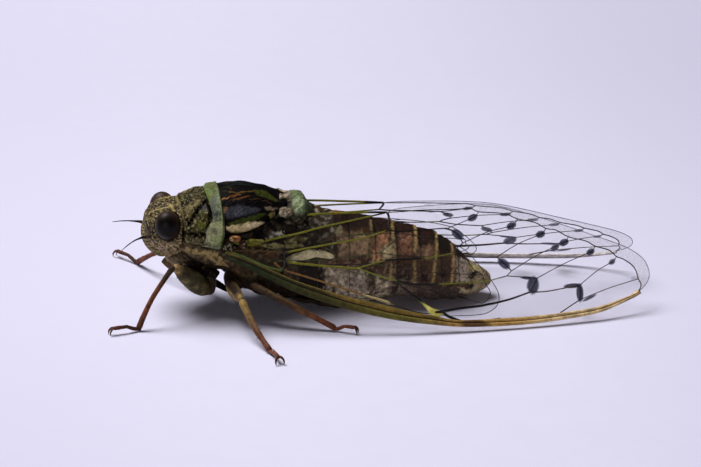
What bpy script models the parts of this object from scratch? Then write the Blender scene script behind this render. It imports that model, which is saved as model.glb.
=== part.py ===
"""A cicada at rest with its wings folded like a roof: a still, life-size model.

Metres, +Z up, floor at z = 0. The head points to -X and the animal's left side to -Y.
Lengths below are in millimetres; MM turns them into metres.
"""
from math import cos, pi, radians, sin

import bmesh
import bpy
from mathutils import Matrix, Vector
from mathutils.geometry import delaunay_2d_cdt

MM = 0.001

# Gaps and plate thicknesses
GAP = 0.3
SHELL = 0.9

# Thorax: x, half-width, top z, bottom z
THORAX = (
    (-20.6, 4.0, 13.15, 6.6),
    (-18.6, 4.95, 14.0, 5.4),
    (-16.2, 5.5, 14.45, 4.6),
    (-13.2, 5.6, 14.75, 4.2),
    (-10.5, 5.15, 14.3, 3.8),
    (-8.0, 4.7, 13.5, 3.3),
    (-4.5, 4.2, 12.8, 2.85),
)
THORAX_UPPER = 2.1
THORAX_LOWER = 1.9
THORAX_WIDEST = 0.46
PRONOTUM_FRONT = -20.9
PRONOTUM_SIDE = 98
COLLAR_FRONT = -17.25
COLLAR_BACK = -15.75
COLLAR_SIDE = 92
MESONOTUM_BACK = -7.9

# Abdomen: x, half-width, top z, bottom z
ABDOMEN = (
    (-4.6, 3.5, 11.4, 2.6),
    (-0.8, 3.85, 10.85, 1.7),
    (2.4, 4.05, 10.25, 1.0),
    (5.1, 4.25, 9.55, 0.6),
    (7.9, 4.2, 8.85, 0.25),
    (10.4, 3.85, 7.95, -0.1),
    (12.6, 3.3, 6.3, -0.1),
    (14.1, 2.6, 4.7, 0.25),
    (16.2, 1.4, 3.3, 0.9),
    (17.0, 0.5, 2.5, 1.5),
)
ABDOMEN_UPPER = 1.65
ABDOMEN_LOWER = 1.9
ABDOMEN_WIDEST = 0.46
SEGMENT_ENDS = (-4.3, -0.6, 2.5, 5.1, 7.9, 10.4, 12.6, 14.1, 16.9)
SEGMENT_FLARE = 0.14

# Head
HEAD = (
    (-24.3, 1.9, 11.3, 8.6),
    (-23.6, 3.0, 12.1, 7.6),
    (-22.6, 3.7, 12.65, 6.9),
    (-21.2, 4.1, 12.95, 6.4),
)
EYE_CENTRE = (-22.05, 3.5, 11.05)
EYE_RADII = (1.55, 1.5, 1.8)
CLYPEUS_CENTRE = (-23.0, 0.0, 8.3)
CLYPEUS_RADII = (1.9, 2.0, 3.0)
CLYPEUS_LEAN = -22
CLYPEUS_RIBS = 9
CLYPEUS_RIB = 0.05

# Wing chart: three points of the left forewing's plane, and the outward bulge of the roof
WING_BASE = (-15.24, -6.34, 8.62)
WING_TIP = (34.98, -5.2, 3.82)
WING_CLAVUS = (4.08, -1.3, 11.32)
WING_LENGTH = 50.47
WING_CAMBER = 0.8
WING_CAMBER_MIDDLE = -2.0
WING_CAMBER_WIDTH = 10.0
WING_FLARE = 0.45
WING_FLARE_FROM = 5.0
WING_FLARE_MIDDLE = 30.0
WING_FLARE_REACH = 11.0
HINDWING_UNDER = -1.12
WING_THICK = 0.95
MEMBRANE_SHARE = 0.5
VEIN_SHARE = 0.75
VEIN_HALF_WIDTH = 0.2

# Junctions of the forewing's veins, millimetres along the wing and across it
FORE_JOINTS = {
    "root_low": (-0.4, -0.7), "root_mid": (-0.1, 0.1), "root_high": (0.3, 1.3),
    "arc_low": (6.6, -1.0), "arc_high": (6.6, 0.1), "fork": (15.1, -1.5),
    "fork_low": (19.6, -2.8), "node": (24.1, -6.65), "clavus": (19.0, 6.2),
    "cubitus": (19.0, 3.75), "a0": (26.2, 4.5), "x2": (26.8, 1.2), "n2": (27.9, 2.6),
    "n3": (31.9, 1.0), "n4": (33.6, -0.7), "p": (33.0, -1.4), "n5": (36.7, -1.4),
    "q": (35.7, -3.3), "n6": (41.9, -1.9), "n7": (41.8, -3.8), "k7": (39.3, -5.65),
    "j1": (30.1, 6.9), "j2": (34.8, 6.3), "j3": (38.2, 5.3), "j4": (40.9, 4.4),
    "j5": (44.1, 3.4), "j6": (46.7, 2.2), "j7": (49.2, -0.5), "tip_low": (49.2, -2.1),
}
FORE_COSTA = (
    ["root_low", (1.4, -1.4), (4.8, -3.2), (8.3, -4.8), (11.8, -6.2), (17.7, -7.35),
     (22.4, -7.85), (27.2, -8.1), (32.0, -7.85), (36.8, -7.1), (41.7, -5.9), (45.5, -4.55),
     (47.9, -3.1), "tip_low"],
    ["root_mid", (1.9, -0.6), (4.8, -2.1), (8.3, -3.6), (11.8, -4.95), (17.7, -6.1),
     (22.4, -6.6), "node"],
    ["node", (27.4, -7.25), (32.0, -7.05), (36.6, -6.3), "k7"],
    ["k7", (41.5, -5.05), (45.2, -3.75), (47.4, -2.5), "tip_low"],
)
FORE_VEINS = (
    ["root_mid", (3.0, -0.7), "arc_low"],
    ["arc_low", (8.4, -1.2), (11.8, -1.4), "fork"],
    ["arc_low", "arc_high"],
    ["root_mid", (3.2, 0.3), "arc_high"],
    ["arc_high", (8.4, 0.6), (12.4, 1.6), (15.9, 2.5), "cubitus"],
    ["root_high", (2.4, 1.0), (5.4, 1.9), (8.5, 2.8), (11.1, 3.7), (14.7, 4.8),
     (17.2, 5.6), "clavus"],
    ["root_high", (2.2, 2.4), (4.2, 3.8), (6.3, 4.8), (8.6, 5.15), (11.2, 5.5),
     (14.7, 5.85), (17.3, 6.1), "clavus"],
    ["fork", (16.2, -1.1), (18.6, -0.3), (22.6, 0.2), (24.7, 0.6), "x2"],
    ["fork", (17.8, -2.4), "fork_low"],
    ["fork_low", (20.4, -3.6), (22.2, -5.1), "node"],
    ["fork_low", (21.6, -3.2), (24.8, -3.0), (28.9, -2.5), (30.4, -2.3), "p"],
    ["node", (27.2, -5.9), (29.8, -5.4), (32.9, -4.5), "q"],
    ["clavus", (19.2, 5.5), "cubitus"],
    ["cubitus", (20.2, 3.7), (22.6, 4.0), "a0"],
    ["a0", (27.3, 3.8), "n2"],
    ["n2", (27.1, 1.8), "x2"],
    ["x2", (28.7, 0.8), (30.2, 0.85), "n3"],
    ["n3", (32.8, 0.2), "n4"],
    ["n4", "p"],
    ["p", (35.3, -1.4), "n5"],
    ["n5", (36.1, -2.3), "q"],
    ["q", (37.5, -3.1), (39.1, -2.7), "n6"],
    ["n6", (41.9, -2.9), "n7"],
    ["n7", "k7"],
    ["a0", (29.3, 6.1), "j1"],
    ["n2", (31.0, 4.3), (34.0, 5.4), "j2"],
    ["n3", (34.7, 3.0), (37.5, 4.5), "j3"],
    ["n4", (37.0, 1.7), (40.3, 3.6), "j4"],
    ["n5", (40.2, 0.8), (43.5, 2.6), "j5"],
    ["n6", (44.1, 0.1), (46.1, 1.5), "j6"],
    ["n7", (45.5, -2.0), "j7"],
    ["clavus", (20.8, 6.4), (23.0, 6.7), (26.8, 7.0), (29.0, 7.25), "j1"],
    ["j1", (32.7, 6.9), (33.7, 6.75), "j2"],
    ["j2", (36.9, 6.0), "j3"],
    ["j3", (39.4, 5.2), "j4"],
    ["j4", (43.0, 4.0), "j5"],
    ["j5", (45.8, 3.0), "j6"],
    ["j6", (47.4, 2.0), (48.5, 1.3), (49.0, 0.5), "j7"],
    ["j7", (49.5, -1.2), "tip_low"],
)
FORE_EDGE = (
    ["root_low", "root_mid"],
    ["root_mid", "root_high"],
    ["clavus", (20.4, 6.8), (24.2, 7.4), (29.1, 7.9), (32.8, 7.8), (38.3, 6.55),
     (44.2, 4.8), (47.9, 3.6), (49.8, 2.4), (50.5, 1.2), (50.6, 0.0), (50.1, -1.1),
     "tip_low"],
)

# The same for the hindwing, in the forewing's chart
HIND_JOINTS = {
    "root_low": (5.4, 0.3), "root_high": (6.2, 2.3), "fork": (13.6, -1.6),
    "split": (19.6, -1.35), "edge_low": (26.4, -6.7), "t1": (30.2, -4.9),
    "t2": (29.3, -1.1), "t3": (26.9, 1.4), "t4": (23.4, 3.0), "t5": (17.2, 3.3),
    "c1": (24.0, -4.1), "c2": (24.3, -1.2),
}
HIND_VEINS = (
    ["root_low", (7.5, -1.5), (11.0, -3.6), (15.0, -5.0), (20.0, -6.1), "edge_low"],
    ["root_low", (9.5, -0.9), "fork"],
    ["fork", (18.0, -2.8), (21.4, -3.6), "c1"],
    ["c1", (26.6, -4.6), "t1"],
    ["fork", "split"],
    ["split", "c2"],
    ["c2", "t2"],
    ["c1", "c2"],
    ["split", (23.5, 0.1), "t3"],
    ["root_low", (10.0, 0.7), (14.0, 0.9), (18.0, 1.6), "t4"],
    ["root_high", (10.0, 2.0), (14.0, 2.4), "t5"],
    ["edge_low", (28.8, -5.9), "t1"],
    ["t1", (30.9, -3.6), (30.2, -2.3), "t2"],
    ["t2", (28.1, 0.6), "t3"],
    ["t3", (25.2, 2.5), "t4"],
    ["t4", (20.5, 3.4), "t5"],
)
HIND_EDGE = (
    ["root_low", "root_high"],
    ["edge_low", (29.9, -6.1), (31.4, -5.4), (32.1, -4.5), (32.2, -3.3), (31.6, -1.9),
     (30.1, 0.2), (28.2, 2.4), (25.4, 3.6), (21.5, 4.0), (17.3, 3.9), "t5"],
    ["t5", (12.0, 3.0), (8.6, 2.6), "root_high"],
)

# Legs: joint points of the left legs and of the right ones, then thicknesses
LEGS = {
    "fore_left": ((-17.4, -2.2, 4.72), (-16.9, -3.6, 2.5), (-21.2, -6.0, 6.7),
                  (-25.74, -8.7, 0.4), (-29.25, -9.75)),
    "mid_left": ((-14.4, -2.4, 3.95), (-15.0, -4.6, 4.1), (-13.9, -9.5, 3.8),
                 (-11.45, -16.7, 0.4), (-10.75, -20.5)),
    "hind_left": ((-10.3, -2.3, 3.5), (-10.6, -4.1, 3.4), (-12.4, -6.9, 4.7),
                  (-3.1, -10.4, 0.4), (-0.6, -11.6)),
    "fore_right": ((-17.4, 2.2, 4.72), (-16.9, 3.6, 2.6), (-20.5, 7.0, 4.4),
                   (-23.95, 13.1, 0.4), (-26.5, 16.35)),
    "mid_right": ((-14.4, 2.4, 3.95), (-15.0, 4.6, 4.1), (-13.7, 9.6, 3.8),
                  (-11.0, 16.7, 0.4), (-9.9, 20.5)),
    "hind_right": ((-10.3, 2.3, 3.5), (-10.6, 4.1, 3.4), (-12.2, 6.9, 4.7),
                   (-2.7, 10.5, 0.4), (-0.1, 11.8)),
}
COXA_RADIUS = {"fore": 0.85, "mid": 0.85, "hind": 0.8}
FEMUR_RADIUS = {"fore": 1.2, "mid": 0.6, "hind": 0.55}
KNEE_RADIUS = 0.42
JOINT_RADIUS = 0.34
TIBIA_RADIUS = 0.36
TARSUS_RADIUS = 0.27
CLAW_RADIUS = 0.1
TARSUS_LIFT = 0.95

# Colours, linear RGB, with roughness
LOOKS = {
    "head": ((0.10, 0.09, 0.045), 0.5),
    "eye": ((0.016, 0.010, 0.010), 0.15),
    "pronotum": ((0.13, 0.14, 0.05), 0.5),
    "collar": ((0.16, 0.26, 0.10), 0.45),
    "mesonotum": ((0.03, 0.035, 0.03), 0.35),
    "cruciform": ((0.16, 0.28, 0.11), 0.45),
    "thorax": ((0.11, 0.08, 0.05), 0.6),
    "abdomen": ((0.15, 0.07, 0.035), 0.5),
    "plate": ((0.42, 0.38, 0.25), 0.6),
    "leg": ((0.20, 0.06, 0.02), 0.4),
    "leg_dark": ((0.05, 0.03, 0.015), 0.4),
    "antenna": ((0.012, 0.012, 0.014), 0.4),
    "wing": ((0.55, 0.57, 0.50), 0.2),
}


def clear_scene():
    for old in list(bpy.data.objects):
        bpy.data.objects.remove(old, do_unlink=True)


def collection(name, cutters=False):
    made = bpy.data.collections.new(name)
    bpy.context.scene.collection.children.link(made)
    made.hide_render = cutters
    return made


def material(look):
    found = bpy.data.materials.get(look)
    if found:
        return found
    made = bpy.data.materials.new(look)
    made.use_nodes = True
    shader = made.node_tree.nodes["Principled BSDF"]
    colour, roughness = LOOKS[look]
    shader.inputs["Base Color"].default_value = (*colour, 1)
    shader.inputs["Roughness"].default_value = roughness
    return made


def add(name, mesh, look, into=None):
    """Puts a mesh in the scene as a node, or as a cutter when into names that collection."""
    made = bpy.data.objects.new(name, mesh)
    (into or CICADA).objects.link(made)
    if look:
        mesh.materials.append(material(look))
    if into is CUTTERS:
        made.hide_render = True
        made.display_type = "WIRE"
    return made


def mesh_of(name, points, faces):
    """A closed mesh in metres from points in millimetres, facing outwards."""
    mesh = bpy.data.meshes.new(name)
    mesh.from_pydata([Vector(p) * MM for p in points], [], faces)
    work = bmesh.new()
    work.from_mesh(mesh)
    bmesh.ops.recalc_face_normals(work, faces=work.faces)
    work.to_mesh(mesh)
    work.free()
    return mesh


def station(table, x):
    """The table's values at x, eased through its rows by a cubic."""
    rows = list(table)
    if x <= rows[0][0]:
        return rows[0][1:]
    if x >= rows[-1][0]:
        return rows[-1][1:]
    i = max(k for k in range(len(rows) - 1) if rows[k][0] <= x)
    before, a, b, after = rows[max(i - 1, 0)], rows[i], rows[i + 1], rows[min(i + 2, len(rows) - 1)]
    span = b[0] - a[0]
    t = (x - a[0]) / span
    out = []
    for k in range(1, len(a)):
        slope_a = (b[k] - before[k]) / (b[0] - before[0]) * span
        slope_b = (after[k] - a[k]) / (after[0] - a[0]) * span
        out.append((2 * t**3 - 3 * t**2 + 1) * a[k] + (t**3 - 2 * t**2 + t) * slope_a
                   + (3 * t**2 - 2 * t**3) * b[k] + (t**3 - t**2) * slope_b)
    return out


def section(values, angle, upper, lower, widest, grow=0.0):
    """(y, z) of a body section at an angle from its top, moved outwards by grow."""
    half, top, bottom = values
    middle = bottom + (top - bottom) * widest
    power = 2 / (upper if cos(angle) >= 0 else lower)
    height = (top - middle if cos(angle) >= 0 else middle - bottom) + grow
    s, c = sin(angle), cos(angle)
    y = (half + grow) * abs(s) ** power * (1 if s >= 0 else -1)
    z = middle + height * abs(c) ** power * (1 if c >= 0 else -1)
    return y, z


def thorax_point(x, angle, grow=0.0):
    y, z = section(station(THORAX, x), angle, THORAX_UPPER, THORAX_LOWER, THORAX_WIDEST, grow)
    return (x, y, z)


def abdomen_point(x, angle, grow=0.0):
    y, z = section(station(ABDOMEN, x), angle, ABDOMEN_UPPER, ABDOMEN_LOWER, ABDOMEN_WIDEST, grow)
    return (x, y, z)


def lofted(name, rings):
    """Closed skin through rings of equal length, with flat ends."""
    count = len(rings[0])
    points = [p for ring in rings for p in ring]
    faces = [list(range(count)), list(range(len(points) - count, len(points)))]
    for r in range(len(rings) - 1):
        for k in range(count):
            n = (k + 1) % count
            faces.append([r * count + k, r * count + n, (r + 1) * count + n, (r + 1) * count + k])
    return mesh_of(name, points, faces)


def plate(name, outer, inner):
    """A closed curved plate between two grids of points of the same size."""
    rows, columns = len(outer), len(outer[0])
    points = [p for row in outer for p in row] + [p for row in inner for p in row]
    under = rows * columns
    faces = []
    for r in range(rows - 1):
        for c in range(columns - 1):
            a = r * columns + c
            quad = [a, a + 1, a + columns + 1, a + columns]
            faces.append(quad)
            faces.append([under + k for k in reversed(quad)])
    rim = [c for c in range(columns)]
    rim += [r * columns + columns - 1 for r in range(1, rows)]
    rim += [(rows - 1) * columns + c for c in range(columns - 2, -1, -1)]
    rim += [r * columns for r in range(rows - 2, 0, -1)]
    for a, b in zip(rim, rim[1:] + rim[:1]):
        faces.append([a, under + a, under + b, b])
    return mesh_of(name, points, faces)


def ellipsoid(name, centre, radii, segments=24, rings=14, lean=0.0):
    """A sphere primitive stretched to three radii and leaned about Y."""
    work = bmesh.new()
    bmesh.ops.create_uvsphere(work, u_segments=segments, v_segments=rings, radius=1)
    turn = Matrix.Rotation(radians(lean), 4, "Y")
    shape = Matrix.Translation(Vector(centre) * MM) @ turn @ Matrix.Diagonal((*(r * MM for r in radii), 1))
    bmesh.ops.transform(work, matrix=shape, verts=work.verts)
    mesh = bpy.data.meshes.new(name)
    work.to_mesh(mesh)
    work.free()
    return mesh


def rod(name, points, radii, sides=4):
    """A curve with a round bevel through the points, thick as the radii say, as a mesh."""
    curve = bpy.data.curves.new(name, "CURVE")
    curve.dimensions = "3D"
    curve.bevel_depth = MM
    curve.bevel_resolution = sides - 2
    curve.use_fill_caps = True
    line = curve.splines.new("POLY")
    line.points.add(len(points) - 1)
    for knot, p, r in zip(line.points, points, radii):
        knot.co = (*(Vector(p) * MM), 1)
        knot.radius = r
    guide = bpy.data.objects.new(name, curve)
    mesh = bpy.data.meshes.new_from_object(guide)
    bpy.data.objects.remove(guide)
    work = bmesh.new()
    work.from_mesh(mesh)
    bmesh.ops.remove_doubles(work, verts=work.verts, dist=1e-7)
    bmesh.ops.recalc_face_normals(work, faces=work.faces)
    work.to_mesh(mesh)
    work.free()
    mesh.name = name
    return mesh


def trimmed_at_floor(mesh):
    """Cuts off what is below z = 0 and closes the cut as a flat sole."""
    work = bmesh.new()
    work.from_mesh(mesh)
    everything = work.verts[:] + work.edges[:] + work.faces[:]
    cut = bmesh.ops.bisect_plane(work, geom=everything, dist=1e-8, plane_co=(0, 0, 0),
                                 plane_no=(0, 0, 1), clear_inner=True)
    edges = [e for e in cut["geom_cut"] if isinstance(e, bmesh.types.BMEdge)]
    if edges:
        bmesh.ops.holes_fill(work, edges=edges)
    bmesh.ops.recalc_face_normals(work, faces=work.faces)
    work.to_mesh(mesh)
    work.free()
    return mesh


def largest_surface(mesh):
    """Keeps only the largest closed surface of a Boolean's result."""
    work = bmesh.new()
    work.from_mesh(mesh)
    left = set(work.verts)
    islands = []
    while left:
        stack = [left.pop()]
        island = set(stack)
        while stack:
            for edge in stack.pop().link_edges:
                for v in edge.verts:
                    if v in left:
                        left.discard(v)
                        island.add(v)
                        stack.append(v)
        islands.append(island)
    islands.sort(key=len)
    for island in islands[:-1]:
        bmesh.ops.delete(work, geom=list(island), context="VERTS")
    work.to_mesh(mesh)
    work.free()


def combine(name, look, meshes, operation="UNION", solver="EXACT"):
    """The first mesh with the others added to it, or cut from it, as one node."""
    base = bpy.data.objects.new(name, meshes[0])
    CICADA.objects.link(base)
    for k, mesh in enumerate(meshes[1:]):
        tool = add(f"{name}_tool_{k}", mesh, None, CUTTERS)
        step = base.modifiers.new("Cut" if operation == "DIFFERENCE" else "Join", "BOOLEAN")
        step.operation = operation
        step.solver = solver
        step.object = tool
    bpy.context.view_layer.update()
    graph = bpy.context.evaluated_depsgraph_get()
    mesh = bpy.data.meshes.new_from_object(base.evaluated_get(graph))
    for step in list(base.modifiers):
        tool = step.object
        base.modifiers.remove(step)
        bpy.data.objects.remove(tool, do_unlink=True)
    base.data = mesh
    mesh.name = name
    largest_surface(mesh)
    mesh.materials.clear()
    mesh.materials.append(material(look))
    return base


def cut_by(node, cutter_mesh):
    """Takes a cutter's shape from a finished node, for good."""
    tool = add(cutter_mesh.name, cutter_mesh, None, CUTTERS)
    step = node.modifiers.new("Clearance", "BOOLEAN")
    step.operation = "DIFFERENCE"
    step.solver = "EXACT"
    step.object = tool
    bpy.context.view_layer.update()
    graph = bpy.context.evaluated_depsgraph_get()
    mesh = bpy.data.meshes.new_from_object(node.evaluated_get(graph))
    node.modifiers.remove(step)
    bpy.data.objects.remove(tool, do_unlink=True)
    node.data = mesh
    largest_surface(mesh)


# Body

def mesonotum_side(x):
    """How far down the thorax, in degrees from its top, the mesonotum reaches at x."""
    t = min(max((x - COLLAR_BACK) / (MESONOTUM_BACK - COLLAR_BACK), 0), 1)
    return 78 - 14 * t - 40 * t**3


def thorax_core(name, grow=0.0):
    """The thorax without its plates, grown on every side."""
    rings = []
    for x in (-20.3, -19.2, -18.0, -16.8, -15.35, -15.0, -14.2, -12.8, -11.4, -10.0, -8.8, -7.6, -6.2, -4.5):
        ledge = 6 + (95 if x < COLLAR_BACK + 0.45 else max(mesonotum_side(x), 42))
        ring = []
        for k in range(-5, 6):
            ring.append(thorax_point(x, radians(ledge * k / 5), grow - SHELL - GAP))
        for k in range(8):
            angle = ledge + 9 + (360 - 2 * (ledge + 9)) * k / 7
            ring.append(thorax_point(x, radians(angle), grow))
        rings.append(ring)
    return lofted(name, rings)


def pronotum_bump(x, angle):
    """Two carved swellings on each side of the pronotum, with furrows between them."""
    side = abs(angle)
    swell = 0.0
    for along, around, size in ((-19.6, 0.75, 0.9), (-18.5, 1.25, 1.0)):
        far = ((x - along) / 0.75) ** 2 + ((side - around) / 0.42) ** 2
        swell += 0.3 * size * max(0.0, 1 - far)
    furrow = 0.28 * max(0.0, 1 - abs(x + 19.1 - 0.9 * (side - 0.95)) / 0.32) * (0.35 < side < 1.6)
    return swell - furrow


def build_pronotum():
    columns, rows = 25, 9
    outer, inner = [], []
    for r in range(rows):
        out_row, in_row = [], []
        for c in range(columns):
            angle = radians(PRONOTUM_SIDE) * (2 * c / (columns - 1) - 1)
            back = COLLAR_FRONT - GAP + 0.35 * abs(sin(angle)) ** 2
            front = PRONOTUM_FRONT + 0.85 * sin(angle) ** 2
            x = front + (back - front) * r / (rows - 1)
            edge = min(r, rows - 1 - r, c, columns - 1 - c)
            out_row.append(thorax_point(x, angle, pronotum_bump(x, angle) - (0.25 if edge == 0 else 0)))
            in_row.append(thorax_point(x, angle, -SHELL))
        outer.append(out_row)
        inner.append(in_row)
    add("pronotum", plate("pronotum", outer, inner), "pronotum")


def build_collar():
    columns, rows = 25, 4
    outer, inner = [], []
    for r in range(rows):
        out_row, in_row = [], []
        for c in range(columns):
            angle = radians(COLLAR_SIDE) * (2 * c / (columns - 1) - 1)
            flare = max(0.0, abs(angle) - 0.9)
            front = COLLAR_FRONT + 0.35 * abs(sin(angle)) ** 2
            back = COLLAR_BACK + 0.25 * sin(min(abs(angle), 1.3)) ** 2 - 1.1 * max(0, abs(angle) - 1.25)
            x = front + (back - front) * r / (rows - 1)
            lift = 0.12 + 0.25 * flare * r / (rows - 1) - (0.18 if r in (0, rows - 1) else 0)
            out_row.append(thorax_point(x, angle, lift))
            in_row.append(thorax_point(x, angle, -SHELL))
        outer.append(out_row)
        inner.append(in_row)
    add("pronotum_collar", plate("pronotum_collar", outer, inner), "collar")


def build_mesonotum():
    columns, rows = 19, 10
    front = COLLAR_BACK + GAP
    outer, inner = [], []
    for r in range(rows):
        out_row, in_row = [], []
        for c in range(columns):
            across = 2 * c / (columns - 1) - 1
            x = front + (MESONOTUM_BACK - front) * r / (rows - 1)
            angle = radians(mesonotum_side(x)) * across
            x += 0.3 * sin(angle) ** 2 * (1 - r / (rows - 1))
            edge = min(r, rows - 1 - r, c, columns - 1 - c)
            groove = 0.12 * max(0.0, 1 - abs(abs(across) - 0.45) / 0.1)
            out_row.append(thorax_point(x, angle, 0.0 - groove - (0.3 if edge == 0 else 0)))
            in_row.append(thorax_point(x, angle, -SHELL))
        outer.append(out_row)
        inner.append(in_row)
    add("mesonotum", plate("mesonotum", outer, inner), "mesonotum")


def build_cruciform():
    """The raised cross behind the mesonotum: two crossing bars and a swollen hind lobe."""
    low = 12.55
    bars = []
    for side in (-1, 1):
        path = [(-7.2, 1.9 * side, low), (-6.5, 0.9 * side, low + 0.45), (-5.8, 0.9 * side, low + 0.45),
                (-5.3, 2.0 * side, low - 0.75)]
        bars.append(rod("bar", path, (0.45, 0.6, 0.7, 0.75), 5))
    lobe = ellipsoid("lobe", (-6.0, 0, low + 0.25), (1.1, 1.6, 0.85), 16, 10)
    combine("cruciform", "cruciform", [lobe, *bars])
    cut_by(bpy.data.objects["cruciform"], thorax_core("cruciform_cutter", GAP))


def build_abdomen():
    around = 28
    for index, (start, end) in enumerate(zip(SEGMENT_ENDS, SEGMENT_ENDS[1:])):
        last = index == len(SEGMENT_ENDS) - 2
        name = "abdomen_tip" if last else f"abdomen_{index + 2}"
        first = start + GAP / 2
        final = end - (0 if last else GAP / 2)
        rings = []
        for share in (0, 0.12, 0.5, 0.9, 1):
            x = first + (final - first) * share
            grow = -SEGMENT_FLARE + 2 * SEGMENT_FLARE * share - (0.12 if share in (0, 1) else 0)
            rings.append([abdomen_point(x, 2 * pi * k / around, 0 if last else grow) for k in range(around)])
        add(name, trimmed_at_floor(lofted(name, rings)), "abdomen")


def build_head():
    around = 26
    rings = []
    for x in (-24.35, -24.05, -23.5, -22.8, -22.0, -21.25):
        values = station(HEAD, x)
        grow = -0.5 if x == -24.35 else 0.0
        ring = []
        for k in range(around):
            y, z = section(values, 2 * pi * k / around, 2.3, 2.0, 0.55, grow)
            ring.append((x, y, z))
        rings.append(ring)
    skull = lofted("skull", rings)
    sockets = []
    for side in (-1, 1):
        centre = (EYE_CENTRE[0], side * EYE_CENTRE[1], EYE_CENTRE[2])
        sockets.append(ellipsoid("socket", centre, [r + GAP for r in EYE_RADII], 20, 12))
        add("eye_left" if side < 0 else "eye_right", ellipsoid("eye", centre, EYE_RADII, 20, 12), "eye")
    bulge = ellipsoid("bulge", CLYPEUS_CENTRE, [r + GAP for r in CLYPEUS_RADII], 20, 14, CLYPEUS_LEAN)
    combine("head", "head", [skull, *sockets, bulge], "DIFFERENCE")


def build_clypeus():
    """The swollen nose below the face, ribbed across."""
    mesh = ellipsoid("clypeus", (0, 0, 0), CLYPEUS_RADII, 20, 2 * CLYPEUS_RIBS)
    for v in mesh.vertices:
        share = v.co.z / (CLYPEUS_RADII[2] * MM)
        ring = round((CLYPEUS_RIBS) * (1 - math_acos(share) / pi) * 2)
        dent = 1 - CLYPEUS_RIB * (ring % 2)
        v.co.x *= dent
        v.co.y *= dent
    turn = Matrix.Translation(Vector(CLYPEUS_CENTRE) * MM) @ Matrix.Rotation(radians(CLYPEUS_LEAN), 4, "Y")
    mesh.transform(turn)
    add("clypeus", mesh, "head")


def math_acos(value):
    """The angle whose cosine is value, safe at the poles."""
    return Vector((1, 0)).angle(Vector((max(-1, min(1, value)), (1 - min(1, value * value)) ** 0.5)))


def build_mouth_and_feelers():
    beak = rod("rostrum", [(-21.6, 0, 5.0), (-20.4, 0, 4.4), (-18.8, 0, 3.6), (-16.6, 0, 3.0)],
               (0.55, 0.5, 0.42, 0.25), 4)
    add("rostrum", beak, "leg_dark")
    left = [(-24.3, -2.4, 9.3), (-24.9, -2.65, 9.3), (-25.8, -3.0, 9.1), (-27.4, -3.9, 8.2)]
    right = [(-24.3, 2.4, 9.4), (-24.9, 2.5, 9.45), (-25.9, 2.8, 9.45), (-27.9, 3.5, 9.1)]
    for name, path in (("antenna_left", left), ("antenna_right", right)):
        add(name, rod(name, path, (0.36, 0.3, 0.24, 0.1), 4), "antenna")


def build_plates_below():
    """Sound covers at the sides of the abdomen's base and the two flaps under it."""
    for side in (-1, 1):
        mark = "left" if side < 0 else "right"
        outer, inner = [], []
        for r in range(7):
            out_row, in_row = [], []
            for c in range(6):
                x = -4.2 + 3.4 * r / 6
                middle = 92 - 5 * r / 6
                half = 12 * (1 - (2 * r / 6 - 1) ** 4 * 0.7)
                angle = side * radians(middle + half * (2 * c / 5 - 1))
                rim = 0.2 if r in (0, 6) or c in (0, 5) else 0.0
                out_row.append((x, *abdomen_point(x, angle, GAP + 0.65 - rim)[1:]))
                in_row.append((x, *abdomen_point(x, angle, GAP + 0.1)[1:]))
            outer.append(out_row)
            inner.append(in_row)
        name = f"tymbal_cover_{mark}"
        add(name, plate(name, outer, inner), "plate")
        outer, inner = [], []
        for r in range(7):
            out_row, in_row = [], []
            for c in range(5):
                t = r / 6
                x = -7.4 + 6.4 * t
                width = 1.35 * (1 - (2 * t - 1) ** 4 * 0.7)
                y = side * (2.3 - 0.2 * t + width * (2 * c / 4 - 1))
                z = 2.88 - 1.55 * t + 0.12 * abs(y)
                rim = 0.15 if r in (0, 6) or c in (0, 4) else 0.0
                out_row.append((x, y, z - 0.55 + rim))
                in_row.append((x, y, z))
            outer.append(out_row)
            inner.append(in_row)
        name = f"operculum_{mark}"
        add(name, plate(name, outer, inner), "plate")


# Wings

def wing_axes():
    base, tip, clavus = Vector(WING_BASE), Vector(WING_TIP), Vector(WING_CLAVUS)
    along = (tip - base).normalized()
    outward = along.cross(clavus - base).normalized()
    if outward.z < 0:
        outward = -outward
    return base, along, outward.cross(along), outward


def wing_point(u, v, under):
    """A point of the left wings' chart: u along the wing, v across it, under along its normal."""
    base, along, across, outward = wing_axes()
    share = min(max(u / WING_LENGTH, 0), 1)
    fall = ((v - WING_CAMBER_MIDDLE) / WING_CAMBER_WIDTH) ** 2
    bulge = WING_CAMBER * sin(pi * share) * (1 - fall)
    ridge = max(0.0, 1 - ((u - WING_FLARE_MIDDLE) / WING_FLARE_REACH) ** 2)
    bulge += WING_FLARE * ridge * max(0.0, v - WING_FLARE_FROM) / 3
    return base + along * u + across * v + outward * (bulge + under)


def vein_net(joints, lines):
    """Points, edges of the drawn lines, and for each point the kinds of line through it."""
    points, index, kinds, edges = [], {}, {}, []
    for kind, paths in lines:
        for path in paths:
            last = None
            for stop in path:
                place = joints[stop] if isinstance(stop, str) else stop
                if place not in index:
                    index[place] = len(points)
                    points.append(Vector(place))
                here = index[place]
                kinds.setdefault(here, set()).add(kind)
                if last is not None:
                    edges.append((last, here))
                last = here
    return points, edges, kinds


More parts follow.
